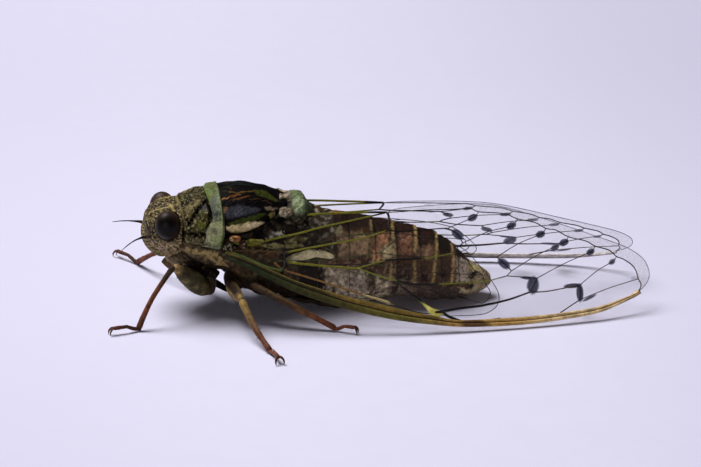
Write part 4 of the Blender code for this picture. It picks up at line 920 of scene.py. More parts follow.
def build_cruciform():
    """The raised cross behind the mesonotum: waxy front arms round a pit, and a swollen hind saddle."""
    corners = [on_thorax(row[4]) for row in CROSS_MARKS]
    saddle = on_thorax([(-7.3, -8), (-6.2, -8), (-5.5, 0), (-5.4, 20), (-5.5, 34), (-6.1, 41), (-7.0, 42),
                        (-7.3, 30),
                        (-7.1, 16)])

    def place(across, along):
        angle = np.radians(54) * (2 * across - 1)
        side = np.degrees(np.abs(angle))
        front = np.interp(side, [0, 12, 46, 54], [-8.6, -9.1, -9.3, -9.2])
        back = np.interp(side, [0, 19, 40, 54], [-4.95, -4.9, -5.2, -6.4])
        x = front + (back - front) * along
        at = np.stack([x, side * THORAX_ARC], axis=1)
        lift = 0.40 * patch_mask(at, saddle, 1.3)
        lift += 0.16 * patch_mask(at, corners[0], 0.5) + 0.2 * patch_mask(at, corners[2], 0.6)
        lift -= 0.3 * patch_mask(at, corners[1], 0.5)
        drop = 0.7 * smooth((x + 5.95) / 1.0)
        rim = 1 - smooth(np.minimum(along / 0.12, 1)) * smooth(inset(across) / 0.04)
        lift += 0.04 * ripple(at, 0.8, 41) + 0.02 * ripple(at, 0.35, 42)
        return body_point(THORAX, x, angle, lift - 0.05 - 0.5 * rim - drop)
    piece = sheet_piece("cruciform_saddle", 150, 90, place, 0.4)
    chart, _ = chart_of(THORAX, piece, THORAX_ARC)
    paint = Paint(piece, chart, (0.020, 0.015, 0.009))
    paint.patch(saddle, (0.10, 0.125, 0.06), 0.5)
    paint.marks(CROSS_MARKS, THORAX_ARC)
    paint.mottle(0.45, 47, (0.10, 0.08, 0.045), 0.36, 0.65)
    paint.patch(saddle, (0.10, 0.15, 0.06), 0.6, 0.5)
    # Painted highlights: two pale mint patches on the saddle's swelling.
    paint.blob(on_thorax([(-6.5, 24)])[0], (0.7, 0.9), (0.30, 0.36, 0.20), 0, 0.9, 0.6)
    paint.blob(on_thorax([(-6.6, 38)])[0], (0.5, 0.4), (0.26, 0.32, 0.18), 0, 0.9, 0.6)
    paint.coat(0.7 * smooth((chart[:, 0] + 5.75) / 0.4), (0.035, 0.06, 0.02))
    paint.line(on_thorax([(-8.9, 42), (-8.2, 38), (-7.5, 40)]), 0.07, (0.10, 0.05, 0.02), 0.15, 0.7)
    paint.mottle(0.45, 43, (0.05, 0.06, 0.03), 0.3, 0.35)
    paint.save()
    set_piece(piece, SHELL_GREEN, "cruciform", "cruciform")


def build_folds():
    """The grey folded skin between the cross and the first abdominal ring."""
    def place(across, along):
        angle = np.radians(75) * (2 * across - 1)
        x = -5.3 + 3.4 * along
        pleat = 0.07 * np.sin(along * 22 + 1.5 * np.sin(across * 9)) * (0.6 + 0.4 * np.sin(across * 17))
        p = body_point(THORAX, np.minimum(x, -4.5), angle, -0.75)
        low = body_point(ABDOMEN, x, angle, 0.2)
        mixed = p + (low - p) * smooth(along / 0.7)[:, None]
        mixed[:, 0] = x
        mixed[:, 2] += pleat - 0.3 * (1 - smooth(along / 0.15)) - 0.5 * smooth((along - 0.85) / 0.15)
        return mixed
    piece = sheet_piece("folded_skin", 160, 60, place, 0.3)
    p = read(piece)
    paint = Paint(piece, p[:, :2], (0.05, 0.038, 0.024))
    paint.mottle(0.7, 51, (0.22, 0.20, 0.15), 0.36, 0.8, 0.6)
    paint.mottle(0.7, 53, (0.02, 0.012, 0.008), 0.35, 0.9)
    paint.coat(0.8 * smooth((p[:, 2] - 11.3) / 0.8) * smooth((p[:, 0] + 4.3) / 0.6), (0.17, 0.075, 0.022))
    paint.save()
    set_piece(piece, SHELL_DULL, "thorax")


# Abdomen

ABDOMEN_MARKS = (
    ("p", 0.3, 0.9, (0.22, 0.10, 0.035), ((-3.85, 1), (-1.35, 1), (-0.43, 1), (-1.18, 11), (-3.02, 19),
                                          (-3.85, 11))),
    ("p", 0.5, 1, (0.014, 0.007, 0.005), ((-3.27, 32), (-0.85, 13), (1.99, 2), (1.74, 30), (-0.6, 37),
                                          (-2.43, 46), (-3.68, 52))),
    ("p", 0.4, 0.9, (0.24, 0.21, 0.11), ((-4.6, 60), (-3.68, 49), (-3.35, 57), (-3.68, 65), (-4.6, 72))),
    ("p", 0.4, 0.9, (0.26, 0.22, 0.12), ((-3.27, 44), (-1.35, 37), (-1.26, 53), (-3.1, 60))),
    ("p", 0.7, 1, (0.36, 0.23, 0.125), ((-1.43, 52), (-0.26, 42), (0.9, 40), (1.82, 47), (1.74, 68),
                                        (0.65, 73), (-1.18, 80), (-1.93, 80), (-1.76, 64))),
    ("p", 0.6, 1, (0.016, 0.006, 0.003), ((2.57, 4), (4.49, 2), (4.32, 29), (2.32, 37))),
    ("p", 0.6, 1, (0.46, 0.22, 0.11), ((2.32, 39), (4.16, 33), (4.24, 48), (2.91, 60), (2.16, 62))),
    ("p", 0.5, 1, (0.70, 0.36, 0.17), ((1.99, 65), (2.99, 56), (3.24, 64), (2.91, 76), (1.99, 78))),
    ("p", 0.5, 1, (0.60, 0.47, 0.25), ((3.24, 56), (4.91, 46), (4.82, 67), (3.32, 71))),
    ("p", 0.6, 1, (0.018, 0.007, 0.004), ((5.41, 2), (7.24, 3), (6.99, 25), (5.16, 28))),
    ("p", 0.7, 1, (0.30, 0.14, 0.075), ((5.24, 30), (6.99, 26), (6.66, 57), (5.07, 60))),
    ("p", 0.5, 1, (0.04, 0.018, 0.011), ((4.91, 73), (6.66, 69), (6.58, 108), (4.99, 109))),
    ("p", 0.6, 1, (0.022, 0.008, 0.005), ((8.16, 3), (9.66, 5), (9.41, 37), (7.74, 42))),
    ("p", 0.6, 1, (0.34, 0.19, 0.11), ((7.74, 44), (9.41, 39), (9.33, 58), (7.66, 62))),
    ("p", 0.5, 1, (0.08, 0.038, 0.022), ((7.49, 69), (9.33, 66), (9.16, 102), (7.49, 106))),
    ("p", 0.5, 1, (0.005, 0.005, 0.004), ((10.66, 13), (11.83, 10), (11.66, 39), (10.33, 45))),
    ("p", 0.6, 1, (0.075, 0.042, 0.026), ((9.99, 53), (11.58, 44), (11.41, 95), (9.83, 100))),
    ("p", 0.5, 1, (0.60, 0.48, 0.36), ((12.41, 37), (14.08, 20), (13.83, 79), (12.16, 88))),
    ("p", 0.4, 1, (0.60, 0.50, 0.22), ((14.08, 25), (15.75, 10), (15.5, 38), (14.08, 47))),
    ("p", 0.2, 1, (0.008, 0.014, 0.011), ((14.25, 49), (15.5, 33), (14.75, 60), (14.08, 76))),
    ("p", 0.2, 1, (0.006, 0.010, 0.008), ((13.83, 88), (14.66, 84), (14.41, 108), (13.83, 103))),
    ("p", 0.4, 1, (0.58, 0.48, 0.26), ((12.66, 101), (15.25, 118), (14.92, 129), (12.83, 122))),
)
LOW_MARKS = (
    ("p", 0.4, 0.8, (0.60, 0.49, 0.37), ((-2.26, 111), (1.07, 100), (1.57, 127), (1.49, 150), (-0.01, 150),
                                         (-1.93, 145))),
    ("p", 0.4, 1, (0.42, 0.31, 0.21), ((2.66, 111), (4.16, 111), (4.32, 148), (2.74, 149))),
    # These two low patches are tan darkened with painted shade, darker towards the back.
    ("p", 0.4, 1, (0.20, 0.14, 0.10), ((4.82, 121), (7.24, 118), (7.24, 146), (5.16, 147))),
    ("p", 0.4, 1, (0.10, 0.07, 0.05), ((7.74, 114), (9.24, 113), (9.41, 146), (7.83, 146))),
    ("p", 0.25, 1, (0.003, 0.002, 0.002), ((5.32, 93), (6.41, 90), (6.41, 103), (5.32, 105))),
    ("p", 0.25, 1, (0.003, 0.002, 0.002), ((7.91, 88), (8.66, 86), (8.74, 99), (7.91, 101))),
    ("p", 0.25, 1, (0.008, 0.005, 0.004), ((10.24, 77), (10.91, 75), (10.91, 85), (10.24, 87))),
    ("p", 0.2, 1, (0.003, 0.002, 0.002), ((-4.5, 112), (-3.43, 110), (-2.93, 150), (-4.6, 150))),
    ("l", 0.14, 1, (0.30, 0.26, 0.22), ((-3.1, 109), (-3.18, 136), (-3.35, 150))),
)
BAND_MARKS = (
    ("p", 0.25, 0.85, (0.022, 0.014, 0.009), ((1.6, 92), (2.3, 96), (2.5, 122), (2.0, 145), (1.65, 114))),
    ("p", 0.3, 0.95, (0.008, 0.005, 0.004), ((4.5, 109), (5.2, 107), (5.4, 122), (5.2, 142), (4.6, 146))),
    ("l", 0.25, 1, (0.18, 0.13, 0.055), ((2.24, 16), (2.16, 37), (1.91, 71))),
    ("l", 0.3, 1, (0.30, 0.20, 0.06), ((4.99, 2), (4.74, 30))),
    ("l", 0.3, 1, (0.40, 0.32, 0.15), ((4.74, 33), (4.57, 66))),
    ("l", 0.32, 1, (0.40, 0.27, 0.11), ((4.32, 78), (4.24, 106))),
    ("l", 0.3, 1, (0.42, 0.29, 0.11), ((7.66, 3), (7.49, 33), (7.24, 52))),
    ("l", 0.27, 1, (0.40, 0.28, 0.10), ((7.08, 67), (7.16, 109))),
    ("l", 0.25, 1, (0.42, 0.30, 0.11), ((10.24, 5), (9.99, 39), (9.58, 69))),
    ("l", 0.25, 1, (0.48, 0.33, 0.11), ((9.49, 71), (9.33, 104))),
    ("l", 0.28, 1, (0.55, 0.34, 0.13), ((12.08, 9), (12, 50), (11.66, 91))),
)


def abdomen_grow(x, angle):
    """Steps of the overlapping rings: each hind edge stands over the next one's front."""
    grow = np.zeros(len(x))
    for start, end in zip(SEGMENT_ENDS[:-2], SEGMENT_ENDS[1:-1]):
        t = (x - start) / (end - start)
        here = (t >= 0) & (t < 1)
        grow = np.where(here, -0.12 + 0.22 * smooth(t / 0.85) - 0.16 * smooth((t - 0.97) / 0.03), grow)
    side = np.degrees(np.abs(angle))
    fold = 0.10 * smooth(1 - np.abs(side - 108) / 8) * smooth((13.5 - x) / 2)
    belly = 0.6 * smooth((side - 98) / 25) * smooth((176 - side) / 30) * smooth((5.0 - x) / 3)
    return grow - fold + belly


def build_abdomen():
    def place(share, angle):
        t = np.clip((share - 0.02) / 0.965, 0, 1)
        x = -4.55 + (16.95 + 4.55) * t
        shrink = poles(share, 0.02, 0.015)
        at = np.stack([x, np.degrees(np.abs(angle)) * ABDOMEN_ARC], axis=1)
        rough = 0.03 * ripple(body_point(ABDOMEN, x, angle), 0.6, 61) + 0.03 * ripple(at, 1.5, 62)
        p = body_point(ABDOMEN, x, angle, abdomen_grow(x, angle) + rough)
        core = np.stack([x, 0 * x, np.full(len(x), 2.0) + 4.5 * smooth((12 - x) / 14)], axis=1)
        p = core + (p - core) * np.sqrt(np.clip(shrink, 0, 1))[:, None]
        p[:, 2] -= hang(x, np.degrees(np.abs(angle))) * shrink
        p[:, 2] = np.maximum(p[:, 2], np.where(x < 3.0, 0.25, 0.0))
        return p
    piece = ball_piece("abdomen_rings", 270, 330, place)
    chart, angle = chart_of(ABDOMEN, piece, ABDOMEN_ARC)
    x = chart[:, 0]
    paint = Paint(piece, chart, (0.095, 0.048, 0.023))
    paint.coat(0.95 * smooth((48 - angle) / 26), (0.012, 0.005, 0.003))
    paint.coat(0.8 * smooth((angle - 90) / 14) * smooth((9.0 - x) / 2), (0.16, 0.12, 0.085))
    # Painted shade: the low side of the rings behind x 7 is darkened.
    paint.coat(0.8 * smooth((angle - 98) / 12) * smooth((x - 7.0) / 2), (0.05, 0.038, 0.032))
    paint.coat(0.95 * smooth((x - 13.7) / 0.4), (0.46, 0.36, 0.20))
    paint.chart = chart + 0.13 * np.stack([ripple(chart, 0.5, 69), ripple(chart, 0.4, 70)], axis=1)
    paint.marks(ABDOMEN_MARKS, ABDOMEN_ARC)
    low = smooth((angle - 99) / 10) * smooth((7.5 - x) / 5) * smooth((x + 3.8) / 0.6)
    paint.coat(0.8 * low * smooth(ripple(read(piece), 0.8, 64, 24) / 0.6 + 0.5), (0.42, 0.31, 0.19))
    paint.marks(LOW_MARKS, ABDOMEN_ARC)
    paint.coat(0.9 * low * smooth(ripple(read(piece), 0.6, 67, 24) / 0.5 - 0.2), (0.80, 0.66, 0.44))
    paint.coat(0.5 * low * smooth(ripple(read(piece), 0.7, 68, 24) / 0.5 - 0.2), (0.03, 0.02, 0.014))
    for start, end in zip(SEGMENT_ENDS[:-2], SEGMENT_ENDS[1:-1]):
        t = (x - start) / (end - start)
        paint.coat(0.6 * smooth(1 - t / 0.45) * smooth((t + 0.01) / 0.05) * smooth((70 - angle) / 30),
                   (0.010, 0.006, 0.005))
        paint.coat(0.8 * smooth(1 - np.abs(x - end - 0.06) / 0.1), (0.012, 0.008, 0.006))
    paint.chart = 0.35 * paint.chart + 0.65 * chart
    paint.marks(BAND_MARKS, ABDOMEN_ARC)
    flecks = smooth((ripple(read(piece), 0.6, 63, 24) - 0.3) / 0.5) * smooth((angle - 52) / 25)
    paint.coat(0.45 * flecks * (1 - 0.6 * smooth((x - 4.5) / 2)), (0.42, 0.30, 0.18))
    paint.mottle(0.4, 65, (0.014, 0.008, 0.006), 0.28, 0.5)
    paint.save()
    set_piece(piece, SHELL_ABDOMEN, "abdomen",
              "abdomen_2", "abdomen_3", "abdomen_4", "abdomen_5", "abdomen_6",
              "abdomen_7", "abdomen_8", "abdomen_tip")


def cover_place(x, high, out, side):
    """Places of the sound cover: high is 1 at its top edge and -1 at its low edge."""
    on_front = np.interp(x, [-8.4, -7.0, -5.5, -4.5], [106, 99, 94, 90]) - 7.5 * high
    on_back = 80.5 - 6.5 * high
    front = body_point(THORAX, np.minimum(x, -4.6), side * np.radians(on_front), out)
    back = body_point(ABDOMEN, np.maximum(x, -4.5), side * np.radians(on_back), out + 0.25)
    mixed = front + (back - front) * smooth((x + 6.0) / 2.4)[:, None]
    mixed[:, 0] = x
    return mixed


def build_plates():
    """The pale sound covers at the sides of the abdomen's base, and the two flaps under it."""
    for side in (-1, 1):
        mark = "left" if side < 0 else "right"

        def cover(across, along):
            x = -8.4 + 6.0 * along
            blunt = np.clip(1 - np.abs(2 * along - 1) ** 3.2, 0.0, 1) ** 0.5
            rim = 1 - smooth(inset(across) / 0.2) * smooth(inset(along) / 0.06)
            return cover_place(x, blunt * (2 * across - 1),
                               0.42 + 0.15 * np.sin(across * math.pi) - 0.3 * rim, side)

        piece = sheet_piece(f"tymbal_cover_shell_{mark}", 40, 110, cover, 0.3, (0, side, 0.2))
        p = read(piece)
        way = np.stack([p[:, 0], p[:, 2]], axis=1)
        paint = Paint(piece, way, (0.92, 0.78, 0.44))
        paint.mottle(1.2, 71, (0.60, 0.54, 0.26), 0.3, 0.5)
        paint.mottle(0.6, 73, (0.9, 0.82, 0.56), 0.3, 0.5)
        paint.coat(0.8 * smooth((-7.2 - p[:, 0]) / 0.8), (0.10, 0.10, 0.03))
        paint.save()
        set_piece(piece, SHELL_DULL, "plate", f"tymbal_cover_{mark}")

        def flap(across, along):
            x = -7.4 + 6.4 * along
            width = 1.4 * (1 - (2 * along - 1) ** 4 * 0.7)
            y = side * (2.7 - 0.2 * along + width * (2 * across - 1))
            rim = np.minimum(inset(across) / 0.12, inset(along) / 0.08)
            z = 1.9 - 1.35 * along + 0.10 * np.abs(y) - 0.75 - 0.14 * smooth(rim)
            return np.stack([x, y, z + 0.03 * np.sin(along * 20) * smooth(rim)], axis=1)

        piece = sheet_piece(f"operculum_shell_{mark}", 40, 60, flap, 0.4, (0, 0, -1))
        p = read(piece)
        paint = Paint(piece, p[:, :2], (0.045, 0.03, 0.018))
        paint.mottle(0.8, 75, (0.012, 0.008, 0.006), 0.4, 0.7)
        paint.save()
        set_piece(piece, SHELL_DULL, "plate", f"operculum_{mark}")


# Head

def build_head():
    eyes = [np.array((EYE_CENTRE[0], side * EYE_CENTRE[1], EYE_CENTRE[2])) for side in (-1, 1)]

    def place(share, angle):
        t = np.clip((share - 0.08) / 0.84, 0, 1)
        x = -24.3 + (-20.4 + 24.3) * t
        shrink = poles(share, 0.08, 0.08)
        side = np.degrees(np.abs(angle))
        at = np.stack([x, side * 0.07], axis=1)
        ridge = 0.14 * line_mask(at, [(-23.9, 2.0), (-22.9, 2.3), (-21.4, 2.1)], 0.05, 0.4)
        ridge += 0.12 * line_mask(at, [(-24.2, 3.4), (-23.2, 4.6), (-21.6, 5.2)], 0.05, 0.4)
        crease = 0.16 * line_mask(at, [(-24.2, 0.9), (-23.0, 1.0), (-21.0, 1.4)], 0.02, 0.3)
        crease += 0.10 * line_mask(at, [(-22.6, 0.2), (-21.0, 0.9)], 0.02, 0.3)
        lumps = 0.035 * ripple(body_point(HEAD, x, angle), 0.7, 81)
        p = body_point(HEAD, x, angle, ridge - crease + lumps)
        flat = np.stack([x, 0 * x, np.full(len(x), 10.0)], axis=1)
        p = flat + (p - flat) * np.sqrt(np.clip(shrink, 0, 1))[:, None]
        p[:, 0] -= 0.25 * (1 - shrink) * (share < 0.5)
        for eye in eyes:
            d = (p - eye) / np.array(EYE_RADII)
            far = np.linalg.norm(d, axis=1)
            p += (d / np.maximum(far, 0.1)[:, None]) * (0.10 * smooth(1 - np.abs(far - 1.12) / 0.14))[:, None]
            sink = smooth((1.04 - far) / 0.15)
            p -= (p - np.array([0, 0, 10.5])) * (0.22 * sink)[:, None] * np.array([0.2, 1, 0.2])
        return p
    piece = ball_piece("head_capsule", 240, 150, place)
    p = read(piece)
    side = np.degrees(np.arctan2(np.abs(p[:, 1]), p[:, 2] - 10.0))
    paint = Paint(piece, np.stack([p[:, 0], side * 0.07], axis=1), (0.045, 0.035, 0.015))
    paint.coat(0.5 * smooth((p[:, 2] - 11.6) / 1.0), (0.045, 0.040, 0.014))
    paint.coat(0.85 * smooth((9.6 - p[:, 2]) / 1.5), (0.38, 0.26, 0.15))
    paint.mottle(0.8, 83, (0.15, 0.115, 0.04), 0.30, 0.6)
    paint.mottle(0.7, 84, (0.010, 0.007, 0.005), 0.34, 0.8, 0.4)
    paint.mottle(0.40, 85, BLACK, 0.30, 0.8, 0.4)
    paint.blob((-22.8, 0.65), (0.5, 0.6), BLACK, 0, 0.85, 0.75)
    paint.blob((-21.7, 0.95), (0.3, 0.65), BLACK, 20, 0.85, 0.75)
    paint.line([(-24.0, 3.6), (-23.65, 2.3), (-23.2, 1.4)], 0.2, BLACK, 0.25, 0.85)
    paint.line([(-22.3, 1.9), (-21.5, 2.5)], 0.16, BLACK, 0.25, 0.8)
    paint.mottle(0.28, 87, (0.40, 0.30, 0.12), 0.15, 0.7, 0.35)
    paint.line([(-24.0, 2.0), (-22.9, 2.35), (-21.2, 2.1)], 0.14, (0.34, 0.25, 0.09), 0.25, 0.8)
    paint.line([(-21.6, 1.4), (-21.2, 3.2)], 0.14, (0.34, 0.25, 0.09), 0.25, 0.8)
    paint.line([(-24.2, 3.4), (-23.2, 4.6), (-21.6, 5.2)], 0.12, (0.22, 0.17, 0.07), 0.25, 0.7)
    for eye in eyes:
        far = np.linalg.norm((p - eye) / np.array(EYE_RADII), axis=1)
        paint.coat(0.9 * smooth((1.12 - far) / 0.08), BLACK)
    paint.save()
    set_piece(piece, SHELL_HEAD, "head", "head")

    beads = []
    for k, (x, y, z) in enumerate(((-22.3, 0.0, 12.75), (-21.75, 0.42, 12.9), (-21.75, -0.42, 12.9))):
        beads.append(bead(f"ocellus_{k}", (x, y, z), (0.15, 0.15, 0.12)))
    piece = joined("ocelli", beads)
    attribute(piece, "rim", np.zeros(len(piece.data.vertices)) + 1.05)
    set_piece(piece, EYE, "eye")

    for eye, mark in zip(eyes, ("left", "right")):
        piece = bead(f"eye_globe_{mark}", eye, EYE_RADII, 96, 64)
        d = (read(piece) - eye) / np.array(EYE_RADII)
        # The rim attribute's axis is the eye's outward way; the painted dark pseudopupil sits round it.
        axis = np.array([-0.25, -0.95 if mark == "left" else 0.95, 0.12])
        away = np.degrees(np.arccos(np.clip(d @ (axis / np.linalg.norm(axis)), -1, 1)))
        attribute(piece, "rim", away / 85)
        set_piece(piece, EYE, "eye", f"eye_{mark}")


def bead(name, centre, radii, around=32, along=20):
    def place(share, angle):
        s = np.sin(share * math.pi)
        return np.array(centre) + np.stack([-radii[0] * np.cos(share * math.pi), radii[1] * s * np.sin(angle),
                                            radii[2] * s * np.cos(angle)], axis=1)
    return ball_piece(name, around / DETAIL, along / DETAIL, place)


def build_clypeus():
    """The swollen nose below the face, ribbed across, and the beak that leaves it."""
    lean = np.array(Matrix.Rotation(math.radians(CLYPEUS_LEAN), 3, "Y"))

    def place(share, angle):
        height = np.cos(share * math.pi)
        s = np.sin(share * math.pi)
        side = np.abs(np.sin(angle))
        rib = 0.02 * np.sin(share * 120) * smooth((side - 0.12) / 0.2) * smooth(s / 0.4)
        rib *= smooth((0.62 - share) / 0.1)
        keel = 0.03 * smooth(1 - side / 0.12)
        r = s * (1 + rib + keel)
        local = np.stack([-CLYPEUS_RADII[0] * r * np.cos(angle), CLYPEUS_RADII[1] * r * np.sin(angle),
                          CLYPEUS_RADII[2] * height], axis=1)
        return np.array(CLYPEUS_CENTRE) + local @ lean.T
    piece = ball_piece("clypeus_ribs", 120, 220, place)
    p = (read(piece) - np.array(CLYPEUS_CENTRE)) @ lean
    share = np.arccos(np.clip(p[:, 2] / CLYPEUS_RADII[2], -1, 1)) / math.pi
    paint = Paint(piece, p[:, 1:], (0.085, 0.062, 0.034))
    paint.coat(0.8 * smooth(1.4 * np.sin(share * 120) - 0.1), (0.33, 0.25, 0.145))
    paint.coat(smooth((share - 0.56) / 0.1), (0.11, 0.085, 0.035))
    paint.mottle(0.7, 84, (0.22, 0.17, 0.07), 0.4, 0.6)
    paint.mottle(0.36, 86, BLACK, 0.22, 0.6, 0.4)
    paint.mottle(0.28, 88, (0.38, 0.29, 0.13), 0.14, 0.6, 0.35)
    paint.coat(0.5 * smooth(1 - np.abs(p[:, 1]) / 0.4), (0.05, 0.045, 0.03))
    paint.save()
    set_piece(piece, SHELL_DULL, "head", "clypeus")

    beak = smooth_path([(-21.9, 0, 5.6, 0.62), (-21.2, 0, 4.85, 0.58), (-20.3, 0, 4.35, 0.5),
                        (-18.8, 0, 3.7, 0.46),
                        (-17.4, 0, 3.2, 0.44), (-15.9, 0, 2.4, 0.42), (-14.7, 0, 1.6, 0.3),
                        (-14.1, 0, 1.15, 0.1)], 0.15)
    piece = tube_piece("rostrum_beak", [beak], 5)
    p = read(piece)
    paint = Paint(piece, p[:, [0, 2]], (0.10, 0.06, 0.03))
    paint.coat(smooth((p[:, 0] + 18.2) / 1.2), BLACK)
    paint.save()
    set_piece(piece, SHELL_DULL, "leg_dark", "rostrum")


def build_underside():
    """Cheeks below the face, the breast in front of the fore legs and the pads the legs turn in."""
    for mark, side in (("left", -1), ("right", 1)):
        pads = []
        for k, (centre, radii, colour) in enumerate((
                ((-21.2, 1.5, 6.9), (1.0, 0.85, 1.2), (0.24, 0.17, 0.09)),
                ((-20.4, 2.3, 6.3), (1.2, 0.9, 1.1), (0.16, 0.12, 0.07)),
                ((-19.4, 1.6, 5.4), (1.7, 1.4, 1.2), (0.018, 0.012, 0.008)),
                ((-17.3, 2.2, 4.5), (1.5, 1.3, 1.0), (0.014, 0.010, 0.007)),
                ((-13.6, 2.2, 3.7), (1.3, 1.3, 1.2), (0.03, 0.018, 0.010)),
                ((-10.2, 2.3, 2.9), (1.9, 1.5, 1.2), (0.014, 0.009, 0.006)),
                ((-6.9, 1.9, 2.0), (1.9, 1.5, 1.0), (0.02, 0.012, 0.008)))):
            middle = np.array(centre) * np.array([1, side, 1])
            pad = bead(f"breast_pad_{k}_{mark}", middle, radii, 60, 40)
            p = read(pad)
            write(pad, p + (p - middle) * (0.05 * ripple(p, 0.9, 151 + k))[:, None])
            Paint(pad, p[:, :2], colour).mottle(0.5, 161 + k, BLACK, 0.35, 0.7).mottle(
                0.4, 171 + k, (0.28, 0.21, 0.11), 0.2, 0.5 if k < 2 else 0.1).save()
            pads.append(pad)
        piece = joined(f"breast_{mark}", pads)
        set_piece(piece, SHELL_DULL, "thorax")


def build_feelers():
    for mark, path in (("left", ((-24.05, -2.3, 9.3), (-24.5, -2.5, 9.32), (-24.95, -2.67, 9.3),
                                 (-25.8, -3.0, 9.1),
                                 (-26.7, -3.45, 8.66), (-27.4, -3.9, 8.2))),
                       ("right", ((-24.05, 2.3, 9.4), (-24.5, 2.42, 9.42), (-24.95, 2.52, 9.46),
                                  (-25.9, 2.8, 9.45),
                                  (-27.0, 3.15, 9.33), (-27.9, 3.5, 9.1)))):
        radii = (0.24, 0.2, 0.14, 0.08, 0.06, 0.03)
        piece = tube_piece(f"feeler_{mark}", [smooth_path([(*p, r) for p, r in zip(path, radii)], 0.06)], 4)
        Paint(piece, read(piece)[:, :2], (0.010, 0.008, 0.008)).coat(
            smooth((read(piece)[:, 0] + 24.9) / 0.5) * 0.8, (0.06, 0.045, 0.03)).save()
        set_piece(piece, SHELL_GLOSSY, "antenna", f"antenna_{mark}")


# Legs

def leg_colours(kind):
    """Colour stops along coxa, femur, tibia and foot, each as (share, colour)."""
    if kind == "fore":
        return (((0, (0.10, 0.07, 0.04)), (1, DARK_BROWN)),
                ((0, (0.04, 0.03, 0.016)), (0.5, (0.055, 0.05, 0.020)), (0.82, (0.045, 0.034, 0.016)),
                 (0.9, (0.36, 0.25, 0.10)), (1, (0.42, 0.27, 0.11))),
                ((0, (0.05, 0.03, 0.02)), (0.2, (0.035, 0.018, 0.012)), (0.4, RED_BROWN),
                 (0.8, (0.16, 0.05, 0.02)), (1, (0.06, 0.02, 0.012))),
                ((0, (0.05, 0.02, 0.012)), (1, (0.10, 0.035, 0.02))))
    return (((0, (0.06, 0.04, 0.02)), (1, (0.03, 0.017, 0.010))),
            ((0, (0.02, 0.012, 0.008)), (0.5, (0.03, 0.018, 0.010)), (0.8, (0.08, 0.055, 0.025)),
             (0.95, (0.20, 0.13, 0.07)), (1, (0.03, 0.015, 0.01))),
            ((0, (0.26, 0.17, 0.045) if kind == "mid" else (0.20, 0.12, 0.07)),
             (0.25, (0.20, 0.125, 0.035) if kind == "mid" else (0.16, 0.11, 0.05)),
             (0.5, (0.15, 0.075, 0.028)),
             (0.8, (0.17, 0.055, 0.022)), (1, (0.12, 0.035, 0.018))),
            ((0, (0.17, 0.05, 0.025)), (0.6, (0.20, 0.065, 0.03)), (1, (0.06, 0.02, 0.01))))


def stops(share, table):
    where = [s for s, _ in table]
    return np.stack([np.interp(share, where, [c[k] for _, c in table]) for k in range(3)], axis=1)


def limb(a, b, profile, before=0.0, after=0.0, bow=0.0):
    """A tapering path from a to b, lengthened at either end and bowed forwards, from shares and radii."""
    a, b = np.array(a, float), np.array(b, float)
    way = (b - a) / np.linalg.norm(b - a)
    a, b = a - way * before, b + way * after
    forwards = np.array([-bow, 0, 0])
    return smooth_path([(*(a + (b - a) * s + forwards * math.sin(math.pi * s)), r) for s, r in profile], 0.12)


def spine(root, way, length, thick):
    root, way = np.array(root), np.array(way) / np.linalg.norm(way)
    return np.array([(*(root + way * length * s), thick * (1 - s) + 0.015) for s in (0.0, 0.35, 0.7, 1.0)])


COXA_PROFILE = {
    "fore": ((0, 0.8), (0.25, 1.0), (0.65, 0.92), (0.93, 0.5), (1, 0.1)),
    "mid": ((0, 0.95), (0.35, 0.8), (0.7, 0.55), (0.93, 0.42), (1, 0.1)),
    "hind": ((0, 0.9), (0.35, 0.8), (0.7, 0.6), (0.93, 0.42), (1, 0.1)),
}


